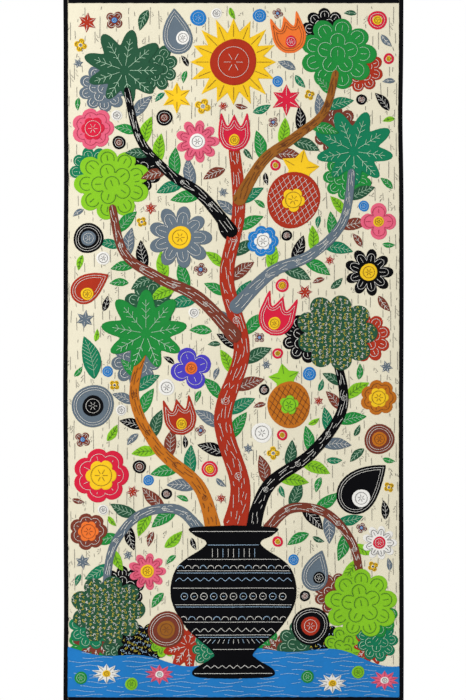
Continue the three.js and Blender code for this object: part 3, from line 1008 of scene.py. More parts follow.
    @cache
    def thread(self, thread: Thread) -> Material:
        """Gives the material of a thread, made at its first use."""
        finish = THREADS[thread]
        return self.surface(f"thread_{thread.label}", finish.roughness, finish.sheen, 0.08, finish.rgb)[0]

    def matching(self, cloth: Cloth) -> Material:
        """Gives the thread that matches a cloth, made once for each cloth."""
        finish = CLOTHS[cloth]
        return self.surface(f"sewing_{cloth.label}", 0.7, finish.sheen, 0.08, finish.rgb)[0]


@dataclass
class MeshPart:
    """Points, faces and point attributes of one cut piece.

    Attributes:
        points: Rows of x, y, z in metres.
        faces: Corner numbers of each face.
        values: A number or vector for each point, by attribute name.
    """

    points: Array
    faces: list[list[int]]
    values: dict[str, Array]

    @staticmethod
    def joined(parts: list["MeshPart"]) -> "MeshPart":
        """Puts several parts into one.

        Args:
            parts: The parts.

        Returns:
            The whole.
        """
        faces, offset = [], 0
        for part in parts:
            faces += [[corner + offset for corner in face] for face in part.faces]
            offset += len(part.points)
        values = {key: np.concatenate([part.values[key] for part in parts]) for key in parts[0].values}
        return MeshPart(np.concatenate([part.points for part in parts]), faces, values)

    def piece(self, name: str, material: Material) -> Object:
        """Makes a smooth mesh object of it at the origin.

        Args:
            name: Name of the object and its mesh.
            material: Its only material.

        Returns:
            The object, linked to the scene.
        """
        mesh = bpy.data.meshes.new(name)
        mesh.from_pydata(self.points.tolist(), [], self.faces)
        for label, values in self.values.items():
            kind, key = ("FLOAT", "value") if values.ndim == 1 else ("FLOAT_VECTOR", "vector")
            mesh.attributes.new(label, kind, "POINT").data.foreach_set(key, values.astype(np.float32).ravel())
        mesh.materials.append(material)
        mesh.shade_smooth()
        mesh.validate()
        made = bpy.data.objects.new(name, mesh)
        bpy.context.scene.collection.objects.link(made)
        return made


@dataclass
class Ground:
    """The cream ground cloth, two-sided and closed, its edge hidden in the binding.

    Attributes:
        drape: Depth of the hanging cloth.
        cell: Grid size of its front.
        inset: How far its edge lies inside the binding's fold.
    """

    drape: Drape
    cell: float = 8.0
    inset: float = 1.3

    def build(self, dyes: Dyehouse) -> Object:
        """Builds and dresses the ground.

        Args:
            dyes: Where its material comes from.

        Returns:
            The ground's object.
        """
        across = round((WIDTH - 2 * self.inset) / self.cell)
        down = round((HEIGHT - 2 * self.inset) / self.cell)
        v = np.linspace(0, 1, down + 1)
        z = -self.inset - v * (HEIGHT - 2 * self.inset)
        left = -(WIDTH / 2 - self.inset) - self.drape.stray(Side.LEFT, z)
        right = WIDTH / 2 - self.inset + self.drape.stray(Side.RIGHT, z)
        u = np.linspace(0, 1, across + 1)
        x = (left[:, None] + (right - left)[:, None] * u).ravel()
        z = np.repeat(z, across + 1)
        z = z + np.repeat(v, across + 1) * self.drape.stray(Side.BOTTOM, x)
        points = np.concatenate([self.drape.place(x, z, lift) for lift in (0.0, -GROUND_CLOTH)])
        index = np.arange((across + 1) * (down + 1)).reshape(down + 1, across + 1)
        quads = np.stack([index[1:, :-1], index[1:, 1:], index[:-1, 1:], index[:-1, :-1]], -1).reshape(-1, 4)
        faces = quads.tolist() + (quads[:, ::-1] + index.size).tolist()
        rim = np.concatenate([index[:-1, 0], index[-1, :-1], index[:0:-1, -1], index[0, :0:-1]])
        following = np.roll(rim, -1)
        faces += np.stack([rim, rim + index.size, following + index.size, following], 1).tolist()
        none = np.zeros(len(points))
        whole = MeshPart(points, faces, {"grain": none, "hem": none, "tint": none})
        return whole.piece("cloth_ground", dyes.cloth(Cloth.CREAM))


@dataclass
class Binding:
    """One black strip folded over an edge of the ground and sewn down on both faces.

    Attributes:
        side: Which edge it covers.
        drape: Depth of the hanging cloth.
        step: Distance between its sections.
        gap: Clearance at the ends of the top and bottom strips.
        short: How far the side strips stop short of the corners.
    """

    side: Side
    drape: Drape
    step: float = 4.5
    gap: float = 0.3
    short: float = 0.05

    # Section of one face from its sewn edge to the fold: distance in, lift
    FACE = ((12.0, -0.2), (11.9, 0.55), (11.0, 1.1), (8.4, 1.2), (4.2, 1.3), (1.5, 1.15), (0.45, 0.7))
    # Section from the front's sewn edge round the fold to the back's: distance in, face, lift
    SECTION = (*((d, 0, h) for d, h in FACE), (0.0, 0.5, 0.0), *((d, 1, h) for d, h in FACE[::-1]))

    def _edge(self, along: Array, inward: Array) -> tuple[Array, Array]:
        """Finds places by the edge.

        Args:
            along: Distances along it.
            inward: Distances in from it.

        Returns:
            Their x and z.
        """
        if self.side in (Side.LEFT, Side.RIGHT):
            sign = 1 if self.side is Side.RIGHT else -1
            return sign * (WIDTH / 2 + self.drape.stray(self.side, along) - inward), along
        if self.side is Side.TOP:
            return along, -inward
        return along, -HEIGHT + self.drape.stray(Side.BOTTOM, along) + inward

    def build(self, dyes: Dyehouse) -> Object:
        """Builds and dresses the strip.

        Args:
            dyes: Where its material comes from.

        Returns:
            The strip's object.
        """
        if self.side in (Side.LEFT, Side.RIGHT):
            low, high = -HEIGHT + self.short, -self.short
        else:
            high = WIDTH / 2 - BINDING_WIDTH - self.gap
            low = -high
        along = np.linspace(low, high, round((high - low) / self.step) + 1)
        d, f, h = (np.tile(column, len(along)) for column in np.array(self.SECTION).T)
        a = np.repeat(along, len(self.SECTION))
        pull = 0.35 * np.sin(a / 5.3) * np.sin(a / 23.0 + 1) * (d > 10)
        x, z = self._edge(a, d + pull)
        puffed = h + 0.16 * (h > 1) * np.sin(a / 3.6 + 3 * np.sin(a / 41)) * np.clip((d - 1) / 8, 0, 1)
        y = self.drape.front(x, z) - puffed * (1 - 2 * f) + f * GROUND_CLOTH
        points = np.stack([x, y, z], 1) * MM
        index = np.arange(len(a)).reshape(len(along), -1)
        following = np.roll(index, -1, axis=1)
        faces = np.stack([index[:-1], following[:-1], following[1:], index[1:]], -1).reshape(-1, 4)
        faces = faces.tolist() + [index[0, ::-1].tolist(), index[-1].tolist()]
        if self.side in (Side.LEFT, Side.TOP):
            faces = [row[::-1] for row in faces]
        # Painted shade: the black strip is darkened along its sewn edges and round its fold
        hem = np.exp(-np.minimum(d, np.abs(BINDING_WIDTH - d)) / 1.5)
        none = np.zeros(len(points))
        whole = MeshPart(points, faces, {"grain": none, "hem": hem, "tint": none})
        return whole.piece(f"binding_strip_{self.side.label}", dyes.cloth(Cloth.BLACK))


@dataclass
class CutPiece:
    """One cut and sewn-on cloth piece with its edge turned under.

    Attributes:
        name: Its name, the CAD node's where it has one.
        cloth: Its cloth.
        outline: Its outline, made anticlockwise.
        part: Name of the object that it is part of, its own if none is given.
        lines: Lines of needlework on it.
        number: Its place in the order of sewing, from 1.
    """

    name: str
    cloth: Cloth
    outline: Array
    part: str = ""
    lines: list[tuple[Array, Stitching]] = field(default_factory=list)
    number: int = 0

    EDGE_STEP = 5.0
    # Height of the turned edge by the distance in from it
    EDGE_IN = (0.0, 0.35, 1.1, 3.4, 6.6, 12.0)
    EDGE_UP = (-0.15, 0.55, 1.02, 1.15, 0.68, 0.6)
    # Painted shade that darkens the turned edge, weighted by the distance in from it
    EDGE_SHADE_IN = (0, 1.2, 5, 7)
    EDGE_SHADE_WEIGHT = (1, 0.5, 0.35, 0)
    # Grids of the flat middle, finer on small pieces, and of the underside: spacing, margin
    WIDE = 90.0
    WIDE_GRID = (9.5, 8.5)
    FINE_GRID = (7.5, 8.5)
    UNDER_GRID = (17.0, 6.0)
    UNDER_LIFT = 0.1

    def __post_init__(self) -> None:
        """Turns the outline anticlockwise, spaces it out and makes it as uneven as a turned edge."""
        self.part = self.part or self.name
        x, z = self.outline.T
        if (x * np.roll(z, -1) - np.roll(x, -1) * z).sum() < 0:
            self.outline = self.outline[::-1]
        self.outline = Outline.spaced(self.outline, self.EDGE_STEP)
        place = np.arange(len(self.outline))
        uneven = 0.3 * np.sin(2.1 * place + 3 * np.sin(0.7 * place))
        self.outline = self.outline + Outline.normals(self.outline) * uneven[:, None]

    def lay(self, relief: Relief, drape: Drape) -> MeshPart:
        """Lays the piece on what is already sewn, and enters it in the raster.

        Args:
            relief: Raster of what lies on the ground.
            drape: Depth of the hanging cloth.

        Returns:
            The piece's points, faces and attributes.
        """
        window = relief.window(self.outline)
        bedding = relief.bedding(window)
        self._enter(relief, bedding, window)
        wide = min(np.ptp(self.outline, axis=0)) > self.WIDE
        points, faces, first = self._filled(self._inner_points(*(self.WIDE_GRID if wide else self.FINE_GRID)))
        distance = np.maximum(inside_distance(points, self.outline), 0)
        lift = relief.sample(bedding, points, window) + self._loft(points, distance)
        under, under_faces, under_first = self._filled(self._grid(*self.UNDER_GRID))
        renumber = {under_first[k]: first[k] for k in range(len(self.outline))}
        extra = [k for k in range(len(under)) if k not in renumber]
        renumber.update({k: len(points) + place for place, k in enumerate(extra)})
        flat = np.concatenate([points, under[extra]])
        lift = np.concatenate([lift, np.full(len(extra), self.UNDER_LIFT)])
        faces = faces + [[renumber[k] for k in face][::-1] for face in under_faces]
        chance = np.random.default_rng(900 + self.number)
        values = {
            "grain": np.full(len(flat), chance.uniform(-0.5, 0.5)),
            # Painted shade along the turned edge
            "hem": np.concatenate([np.interp(distance, self.EDGE_SHADE_IN, self.EDGE_SHADE_WEIGHT), np.zeros(len(extra))]),
            "tint": np.full(len(flat), chance.uniform(-0.04, 0.04)),
        }
        return MeshPart(drape.place(flat[:, 0], flat[:, 1], lift), faces, values)

    def _enter(self, relief: Relief, bedding: Array, window: tuple[slice, slice]) -> None:
        """Enters the piece's top surface and number in the raster.

        Args:
            relief: The raster.
            bedding: Height on which the piece beds down.
            window: Rows and columns of the raster around it.
        """
        down, across = (np.arange(size) + part.start for size, part in zip(bedding.shape, window))
        i, j = np.meshgrid(across, down)
        cells = np.stack([relief.left + i.ravel() * relief.CELL, relief.top - j.ravel() * relief.CELL], 1)
        inside = inside_distance(cells, self.outline).reshape(bedding.shape)
        top = bedding + self._loft(cells, inside.ravel()).reshape(bedding.shape)
        relief.height[window] = np.where(inside > 0, top, relief.height[window])
        relief.owner[window] = np.where(inside > 0, self.number, relief.owner[window])

    def _loft(self, points: Array, distance: Array) -> Array:
        """Gives the cloth's height over its bedding, puckered near the edge and soft inside it.

        Args:
            points: Rows of x, z.
            distance: How far in each point lies.

        Returns:
            The height at each point.
        """
        x, z = points.T
        gathers = np.sin(0.83 * x + 1.7 * np.sin(0.31 * z)), np.sin(0.77 * z + 1.3 * np.sin(0.29 * x))
        pucker = 0.5 + 0.5 * gathers[0] * gathers[1]
        edge = np.interp(distance, self.EDGE_IN, self.EDGE_UP)
        rumple = 0.16 * np.sin(x / 5.3 + z / 7.9 + self.number) * np.sin(z / 6.1 - x / 9.7 + 2 * self.number)
        inner = np.clip(distance / 9, 0, 1)
        return edge * (1 - 0.3 * pucker * np.exp(-(distance / 4) ** 2)) + rumple * inner

    def _grid(self, spacing: float, margin: float) -> Array:
        """Spreads staggered points inside the outline.

        Args:
            spacing: Distance between them.
            margin: How near the outline they may come.

        Returns:
            The points.
        """
        low, high = self.outline.min(0), self.outline.max(0)
        z = np.arange(low[1] + margin / 2, high[1], spacing * 0.866)
        x = np.arange(low[0] + margin / 2, high[0], spacing)
        gx, gz = np.meshgrid(x, z)
        gx = gx + spacing / 2 * (np.arange(len(z)) % 2)[:, None]
        points = np.stack([gx.ravel(), gz.ravel()], 1)
        return points[inside_distance(points, self.outline) > margin] if len(points) else points

    def _inner_points(self, spacing: float, margin: float) -> Array:
        """Gives the rings along the turned edge and the points of the flat middle.

        Args:
            spacing: Distance between the points of the middle.
            margin: How near the outline these may come.

        Returns:
            The points.
        """
        normals = Outline.normals(self.outline)
        groups = []
        for inset in self.EDGE_IN[1:5]:
            ring = self.outline - normals * inset
            groups.append(ring[inside_distance(ring, self.outline) > inset * 0.9])
        return np.concatenate([*groups, self._grid(spacing, margin)])

    def _filled(self, inner: Array) -> tuple[Array, list[list[int]], dict[int, int]]:
        """Fills the outline with triangles.

        Args:
            inner: Points inside it that the triangles also use.

        Returns:
            The points, the faces and where each corner of the outline went.
        """
        count = len(self.outline)
        given = [Vector((float(x), float(z))) for x, z in np.concatenate([self.outline, inner])]
        flat, _, faces, sources, _, _ = delaunay_2d_cdt(given, [], [list(range(count))], 1, 1e-5)
        where = {source: k for k, group in enumerate(sources) for source in group if source < count}
        return np.array([(p.x, p.y) for p in flat]), [list(face) for face in faces], where


# Needlework: each line as rows of x, z, about a layer's own origin where it belongs to one


def arc(x: float, z: float, radius: float, start: float, sweep: float) -> Array:
    """Draws an arc about x, z, its start and sweep in degrees."""
    angle = np.radians(
        start + sweep * np.linspace(0, 1, max(5, round(radius * math.radians(sweep) / 2.5))))
    return np.stack([x + radius * np.cos(angle), z + radius * np.sin(angle)], 1)


def straight(ax: float, az: float, bx: float, bz: float) -> Array:
    """Draws a straight line."""
    return np.array([(ax, az), (bx, bz)], float)


def spoke(angle: float, start: float, end: float, aspect: float = 1.0) -> Array:
    """Draws a straight line outwards at an angle in radians, squeezed across by an aspect."""
    c, s = math.cos(angle) * aspect, math.sin(angle)
    return straight(start * c, start * s, end * c, end * s)


def spokes(count: int, start: float, end: float, turn: float = 0.0,
           aspect: float = 1.0) -> list[Array]:
    """Draws evenly turned spokes, the first one at a turn in radians."""
    return [spoke(TURN * k / count + turn, start, end, aspect) for k in range(count)]


def worked(layer: Layer, size: float, outline: Array) -> Iterable[Array]:
    """Draws the needlework of a layer about its origin, or for Work.ECHO where its outline lies."""
    makers: dict[Work, Callable[[], Iterable[Array]]] = {
        Work.SCALES: lambda: scales(size),
        Work.TWIGS: lambda: twigs(size, layer.lobes),
        Work.SEEDS: lambda: seeds(size, 77 + round(size)),
        Work.VEINS: lambda: veins(size, size * layer.aspect, layer.notch),
        Work.PETALS: lambda: petals(size, layer.lobes, layer.notch),
        Work.RAYS: lambda: rays(size, layer),
        Work.RINGS: lambda: rings(size),
        Work.ECHO: lambda: echoes(outline, (6.5, 12.5)),
        Work.LATTICE: lambda: lattice(size),
    }
    return makers[layer.work]()


def scales(size: float) -> Iterator[Array]:
    """Covers a leafy clump with overlapping arcs, each with a short midrib.

    Args:
        size: Radius of the clump.

    Yields:
        The lines.
    """
    for reach, count, phase in ((0.0, 1, 90), (0.36, 5, 18), (0.7, 9, 0)):
        for k in range(count):
            out = phase + 360 * k / count
            c, s = heading(out)
            cx, cz = reach * size * c, reach * size * s
            radius = size * (0.2 if reach < 0.6 else 0.185)
            yield arc(cx, cz, radius, out - 118, 236)
            yield straight(cx - c * radius * 0.3, cz - s * radius * 0.3,
                           cx + c * radius * 0.5, cz + s * radius * 0.5)


def twigs(size: float, count: int) -> Iterator[Array]:
    """Runs a midrib with side twigs into each lobe of a palm.

    Args:
        size: Radius of the palm.
        count: How many lobes it has.

    Yields:
        The lines.
    """
    for k in range(count):
        out = math.radians(360 * k / count)
        yield spoke(out, 0.14 * size, 0.84 * size)
        for share, twig in ((0.36, 0.12), (0.52, 0.15), (0.68, 0.12)):
            root = share * size * math.cos(out), share * size * math.sin(out)
            yield from (spoke(out + lean, 0, twig * size) + root for lean in (-0.75, 0.75))


def seeds(size: float, seed: int) -> Iterator[Array]:
    """Scatters small ticks in pairs over a bush.

    Args:
        size: Radius of the bush.
        seed: Seed of their places.

    Yields:
        The lines.
    """
    chance = np.random.default_rng(seed)
    for z in np.arange(-size, size, 8.5):
        for x in np.arange(-size, size, 9.5):
            root = x + chance.uniform(-2.5, 2.5), z + chance.uniform(-2.5, 2.5)
            turn = chance.uniform(0, TURN)
            yield from (spoke(turn + lean, 0, 5.6) + root for lean in (-0.55, 0.55))


def veins(length: float, width: float, bend: float) -> Iterator[Array]:
    """Draws a leaf's midrib and slanting side veins.

    Args:
        length: Length of the leaf.
        width: Width of the leaf.
        bend: How far its middle lies to the right, as a share of its length.

    Yields:
        The lines.
    """
    share = np.linspace(0.06, 0.9, 12)
    yield np.stack([bend * length * np.sin(math.pi * share), share * length], 1)
    for along in np.arange(0.2, 0.8, 11 / length):
        half = width / 2 * math.sin(math.pi * along ** 0.85) ** 0.9 - 3.0
        if half < 2.5:
            continue
        root = bend * length * math.sin(math.pi * along)
        for sign in (-1, 1):
            yield straight(root + sign * 1.2, along * length,
                           root + sign * half * 0.85, along * length + half * 0.8)


def petals(size: float, lobes: int, notch: float) -> list[Array]:
    """Follows the petals inside their edge, with a dash up each one."""
    echo = Outline.lobed(size, 1.0, lobes, notch * 1.15) * 0.8
    return [np.concatenate([echo, echo[:1]]), *spokes(lobes, 0.46 * size, 0.68 * size)]


def rays(size: float, layer: Layer) -> list[Array]:
    """Runs a line up each point of a star."""
    start = max(0.15, 1 - layer.notch * 1.5)
    return spokes(layer.lobes, start * size, 0.84 * size, math.pi / 2, layer.aspect)


def rings(size: float) -> list[Array]:
    """Works a ring and a crossed centre on a disc, plainer on a small one."""
    cross = spokes(6 if size > 14 else 3, 0.12 * size, 0.4 * size)
    return [arc(0, 0, size * 0.66, 0, 360), *cross]


def echoes(outline: Array, insets: tuple[float, ...]) -> Iterator[Array]:
    """Follows an outline inside it, left open where it pinches.

    Args:
        outline: The outline.
        insets: How far in each line runs.

    Yields:
        The lines.
    """
    for inset in insets:
        ring = outline - Outline.normals(outline) * inset
        kept = inside_distance(ring, outline) > inset * 0.88
        run: list[Array] = []
        for point, inside in zip([*ring, ring[0]], [*kept, kept[0]]):
            if inside:
                run.append(point)
                continue
            if len(run) > 2:
                yield np.array(run)
            run = []
        if len(run) > 2:
            yield np.array(run)


def lattice(size: float, spacing: float = 13.0) -> Iterator[Array]:
    """Crosses a fruit with slanting lines.

    Args:
        size: Radius of the fruit.
        spacing: Distance between the lines.

    Yields:
        The lines.
    """
    for lean in (55, 125):
        c, s = heading(lean)
        for off in np.arange(-size, size, spacing):
            half = math.sqrt(max((size * 0.86) ** 2 - off * off, 0))
            if half > 8:
                yield straight(-s * off - c * half, c * off - s * half,
                               -s * off + c * half, c * off + s * half)


def bark(stem: Stem, seed: int) -> Iterator[Array]:
    """Runs broken wandering lines up a stem.

    Args:
        stem: The stem.
        seed: Seed of their breaks.

    Yields:
        The lines.
    """
    chance = np.random.default_rng(seed)
    line = Outline.smooth(stem.route, 12)
    tangent = directions(line)
    side = np.stack([-tangent[:, 1], tangent[:, 0]], 1)
    half = stem.half(np.linspace(0, 1, len(line)))
    length = measured(line)
    for lane in (-0.56, -0.2, 0.2, 0.58) if stem.foot > 40 else (-0.5, 0.0, 0.5):
        at = chance.uniform(4, 26)
        while at < length[-1] - 10:
            run = chance.uniform(9, 15) if chance.random() < 0.35 else chance.uniform(20, 46)
            places = np.linspace(at, min(at + run, length[-1] - 3), 5)
            offset = (lane + chance.uniform(-0.14, 0.14)) * np.interp(places, length, half)
            offset = offset + chance.uniform(-2.4, 2.4) * np.linspace(-1, 1, 5)
            offset = offset + chance.uniform(-1.6, 1.6) * np.sin(math.pi * np.linspace(0, 1, 5))
            yield read_at(places, length, line) + read_at(places, length, side) * offset[:, None]
            at += run + chance.uniform(9, 30)


def knots(stem: Stem, seed: int) -> Iterator[Array]:
    """Works a double ring here and there along a stem.

    Args:
        stem: The stem.
        seed: Seed of their places.

    Yields:
        The lines.
    """
    chance = np.random.default_rng(seed)
    line = Outline.smooth(stem.route, 12)
    for share in np.arange(0.2, 0.9, 0.19) + chance.uniform(-0.05, 0.05):
        x, z = line[int(share * (len(line) - 1))]
        for ring in (1.0, 0.5):
            yield arc(x, z, stem.tip * 0.3 * ring, chance.uniform(0, 90), 320)


def ripples(seed: int) -> Iterator[Array]:
    """Scatters long wavy lines over the water.

    Args:
        seed: Seed of their breaks.

    Yields:
        The lines.
    """
    chance = np.random.default_rng(seed)
    for z in np.arange(-1722, -1846, -11):
        x = -436 + chance.uniform(0, 50)
        while x < 430:
            run = chance.uniform(45, 120)
            places = np.arange(x, min(x + run, 434), 5.0)
            if len(places) > 3:
                yield np.stack([places, z + 2.4 * np.sin(places / 13 + z)], 1)
            x += run + chance.uniform(18, 50)


def bands(right: Array) -> Iterator[Array]:
    """Decorates the vase with level lines, zigzags, arcs and dashes between them.

    Args:
        right: Right half of the vase, in rising order.

    Yields:
        The lines.
    """
    def half(z: float) -> float:
        """Gives how far out the work runs at a height."""
        return float(np.interp(z, right[:, 1], right[:, 0])) - 7.0

    for z in (-1786, -1722, -1690, -1684, -1650, -1610, -1604, -1560, -1520, -1514, -1484, -1446, -1410):
        yield straight(-half(z), z, half(z), z)
    for z, rise, pitch in ((-1671, 11, 11), (-1537, 10, 11), (-1768, 9, 10)):
        count = int(half(z) / pitch)
        x = np.arange(-count, count + 1) * float(pitch)
        yield np.stack([x, z + rise * (np.arange(len(x)) % 2 - 0.5)], 1)
    for z, radius in ((-1644, 11), (-1508, 10)):
        count = int(half(z) / (2 * radius))
        yield from (arc(k * 2 * radius, z, radius * 0.8, 0, 180) for k in range(-count, count + 1))
    for x in 26.0 * np.arange(-5, 6):
        yield arc(x, -1582, 9, 0, 360)
        yield straight(x - 3, -1582, x + 3, -1582)
    yield from (straight(k * 14.0, -1478, k * 14.0, -1456) for k in range(-4, 5))
    yield from (straight(k * 14.0, -1706, k * 12.0, -1696) for k in range(-6, 7))


def rain(seed: int) -> Iterator[Array]:
    """Fills the ground with upright broken dashes of uneven length, some with short ticks beside.

    Args:
        seed: Seed of their places.

    Yields:
        The lines.
    """
    chance = np.random.default_rng(seed)
    x = -434.0
    while x < 434:
        z = -18.0 - chance.uniform(0, 50)
        while z > -1846:
            run = chance.uniform(14, 62) if chance.random() < 0.75 else chance.uniform(5, 12)
            wander = chance.uniform(-1.8, 1.8)
            cx = x + chance.uniform(-6, 6)
            yield np.array([(cx, z), (cx + wander * 0.5, z - run / 2), (cx + wander, z - run)])
            if chance.random() < 0.45:
                side = chance.choice((-1, 1))
                for k in range(chance.integers(2, 5)):
                    beside, tick = cx + side * (3 + 2.5 * (k % 2)), z - run * 0.3 - 4.6 * k
                    ends = (beside + side * chance.uniform(2, 5), tick - chance.uniform(1, 4.5))
                    yield np.array([(beside, tick), ends])
            z -= run + chance.uniform(8, 32)
        x += chance.uniform(16, 24)


@dataclass
class Applique:
    """All the cut pieces, in the order in which they are sewn on.

    Attributes:
        relief: Raster of what lies on the ground.
        drape: Depth of the hanging cloth.
        pieces: The cut pieces.
        laid: Meshes of the laid pieces, by the name of the object that they are part of.
        cloths: The cloth of each such object.
    """

    relief: Relief
    drape: Drape
    pieces: list[CutPiece] = field(default_factory=list)
    laid: dict[str, list[MeshPart]] = field(default_factory=dict)
    cloths: dict[str, Cloth] = field(default_factory=dict)

    FINE = (4.6, 0.8, 1.4)  # stitch, gap and width on most pieces
    COARSE = (5.6, 0.8, 1.7)  # on leafy clumps
    LEAF_ASPECT = 0.42

    def build(self, dyes: Dyehouse) -> list[Object]:
        """Plans, lays and dresses the pieces, those that fill the open ground last.

        Args:
            dyes: Where the materials come from.

        Returns:
            Their objects.
        """
        self._plan()
        for piece in list(self.pieces):
            self._lay(piece)
        first = len(self.pieces)
        self._scatter()
        for piece in self.pieces[first:]:
            self._lay(piece)
        LOG.info("cut pieces: %d", len(self.pieces))
        return [MeshPart.joined(parts).piece(f"cut_{name}", dyes.cloth(self.cloths[name]))
                for name, parts in self.laid.items()]

    def _plan(self) -> None:
        """Lists the main pieces, lowest first."""
        self._foliage()
        self._pool()
        for figure in BACKED_FIGURES:
            self._figure(figure)
        for order, stem in enumerate(STEMS):
            self._leaves(order, stem)
        for stem in STEMS:
            self._stem(stem)
        self._vase()
        self._lotuses()
        for figure in FIGURES:
            self._figure(figure)

    def _add(self, piece: CutPiece) -> None:
        """Numbers a piece and adds it on top."""
        piece.number = len(self.pieces) + 1
        self.pieces.append(piece)

    def _lay(self, piece: CutPiece) -> None:
        """Lays one piece and keeps its mesh under its object's name."""
        self.laid.setdefault(piece.part, []).append(piece.lay(self.relief, self.drape))
        self.cloths[piece.part] = piece.cloth

    def _pool(self) -> None:
        """Adds the water at the foot, its sides and bottom tucked under the binding."""
        x = np.linspace(TUCK_SIDE, -TUCK_SIDE, 90)
        top = -1738 + 20 * np.sin(x / 95) + 11 * np.sin(x / 41 + 1)
        foot = BINDING_WIDTH - 2 - HEIGHT
        outline = np.concatenate([[(-TUCK_SIDE, foot), (TUCK_SIDE, foot)], np.stack([x, top], 1)])
        sewn = Stitching(Thread.ICE, 7.0, 1.2, 1.5)
        self._add(CutPiece("pool", Cloth.BLUE, outline, lines=[(line, sewn) for line in ripples(21)]))

    def _stem(self, stem: Stem) -> None:
        """Adds a stem or branch with its bark lines and knots.

        Args:
            stem: The stem.
        """
        line = Outline.smooth(stem.route, 14)
        tangent = directions(line)
        share = np.linspace(0, 1, len(line))
        rounding = np.minimum(np.sqrt(0.1 + share / 0.045), np.sqrt(0.1 + (1 - share) / 0.03))
        half = stem.half(share) * np.minimum(rounding, 1) * (1 + 0.3 * np.exp(-14 * share))
        side = np.stack([tangent[:, 1], -tangent[:, 0]], 1) * half[:, None]
        piece = CutPiece(stem.name, stem.cloth, np.concatenate([line + side, (line - side)[::-1]]))
        thread, seed = CLOTHS[stem.cloth].thread, 40 + len(self.pieces)
        piece.lines += [(row, Stitching(thread, 7.5, 0.9, 1.7)) for row in bark(stem, seed)]
        piece.lines += [(row, Stitching(thread, 3.2, 0.5, 1.4)) for row in knots(stem, seed)]
        self._add(piece)

    def _leaves(self, order: int, stem: Stem) -> None:
        """Adds leaves in pairs along a stem, their stalks tucked under it.

        Args:
            order: The stem's number, which shifts their cloths.
            stem: The stem, whose own cloth none of them has.
        """
        line = Outline.smooth(stem.route, 6)
        tangent = directions(line)
        count = round(measured(line)[-1] * 0.6 / 31)
        for i in range(count):
            share = 0.25 + 0.6 * i / (count - 1)
            at = share * (len(line) - 1)
            root, way = (read_at(at, np.arange(len(line)), rows) for rows in (line, tangent))
            sign = 1 if i % 2 == 0 else -1
            degrees = math.degrees(math.atan2(way[1], way[0])) - 90 + sign * (50 + 6 * math.sin(5.0 * i))
            root = root + np.array([-way[1], way[0]]) * sign * (stem.half(share) - 8)
            size = 80 * (1.05 - 0.25 * share + 0.1 * math.sin(3.0 * i))
            cloth = LEAVES[(order * 3 + i) % len(LEAVES)]
            cloth = Cloth.LIME if cloth is stem.cloth else cloth
            leaf = size, size * self.LEAF_ASPECT, 0.06 * sign
            piece = CutPiece(f"leaf_{order}_{i}", cloth, Outline.turned(Outline.leaf(*leaf), degrees) + root,
                             f"leaves_{cloth.label}")
            sewn = Stitching(CLOTHS[cloth].thread, 4.6, 0.7, 1.3)
            piece.lines += [(Outline.turned(row, degrees) + root, sewn) for row in veins(*leaf)]
            self._add(piece)

    def _foliage(self) -> None:
        """Adds the hedge above the water, and clumps that peep out from behind the larger ones."""
        for k in range(15):
            size = 54 + 11 * math.sin(2.7 * k)
            cloth = HEDGE[k % len(HEDGE)]
            self._figure(Figure(f"hedge_{k}", HEDGE_MOTIFS[k % 4], self._clear(-420 + 60 * k, size),
                                -1712 + 14 * math.sin(1.9 * k), size, 23 * k, cloth, group="hedge"))
        clumps = [figure for figure in BACKED_FIGURES + FIGURES if figure.name.startswith("clump")]
        for k, clump in enumerate(clumps):
            for side, turn in enumerate((0.5 + 1.7 * k, 2.6 + 1.9 * k)):
                size = 0.62 * clump.size
                x = self._clear(clump.x + 0.8 * clump.size * math.cos(turn), size)
                z = clump.z + 0.7 * clump.size * math.sin(turn)
                cloth = BEHIND[(2 * k + side) % len(BEHIND)]
                self._figure(Figure(f"behind_{k}", Motif.CLUMP, x, z, size, 40 * turn, cloth, group="behind"))

    @staticmethod
    def _clear(x: float, size: float) -> float:
        """Moves a clump's centre in until it stays inside the side bindings."""
        reach = TUCK_SIDE - 1.1 * size
        return min(max(x, -reach), reach)

    def _lotuses(self) -> None:
        """Adds flowers and round leaves on the water."""
        for k, x in enumerate((-404, -336, -270, -196, 196, 262, 330, 400)):
            z = -1798 + 16 * math.sin(2.3 * k)
            if k % 2:
                self._figure(Figure(f"lotus_{k}", Motif.LOTUS, x, z, 27, 0, *LOTUSES[k // 2 % 2], "water"))
            else:
                self._figure(Figure(f"pad_{k}", Motif.BERRY, x, z, 17, 0, PADS[k // 2 % 2], group="water"))

    def _scatter(self, seed: int = 8, most: int = 140, least_room: float = 22.0) -> None:
        """Fills the open ground with small figures, the widest openings first.

        Args:
            seed: Seed of their turns.
            most: How many there may be.
            least_room: How wide an opening has to be around its middle.
        """
        chance = np.random.default_rng(seed)
        skip = 4
        cell = self.relief.CELL * skip
        open_ground = self.relief.owner[::skip, ::skip] == 0
        x = self.relief.left + cell * np.arange(open_ground.shape[1])
        z = self.relief.top - cell * np.arange(open_ground.shape[0])
        open_ground &= (np.abs(x) < FIELD_SIDE - 6)[None, :] & ((z < -18) & (z > -HEIGHT + 18))[:, None]
        for k in range(most):
            room = self._room(open_ground) * cell
            j, i = np.unravel_index(np.argmax(room), room.shape)
            if room[j, i] < least_room:
                break
            size = min(0.6 * room[j, i], 27.0)
            motif = SCATTERED[k % len(SCATTERED)]
            leafy = motif is Motif.LEAF
            cloths = LEAVES if leafy else BRIGHTS
            cloth, second = (cloths[(k // 2 + shift) % len(cloths)] for shift in (0, 3))
            self._figure(Figure(f"small_{k}", motif, x[i], z[j], size * (1.15 if leafy else 1),
                                chance.uniform(0, 360), cloth, second, "small"))
            open_ground &= (x[None, :] - x[i]) ** 2 + (z[:, None] - z[j]) ** 2 > (size + 7) ** 2

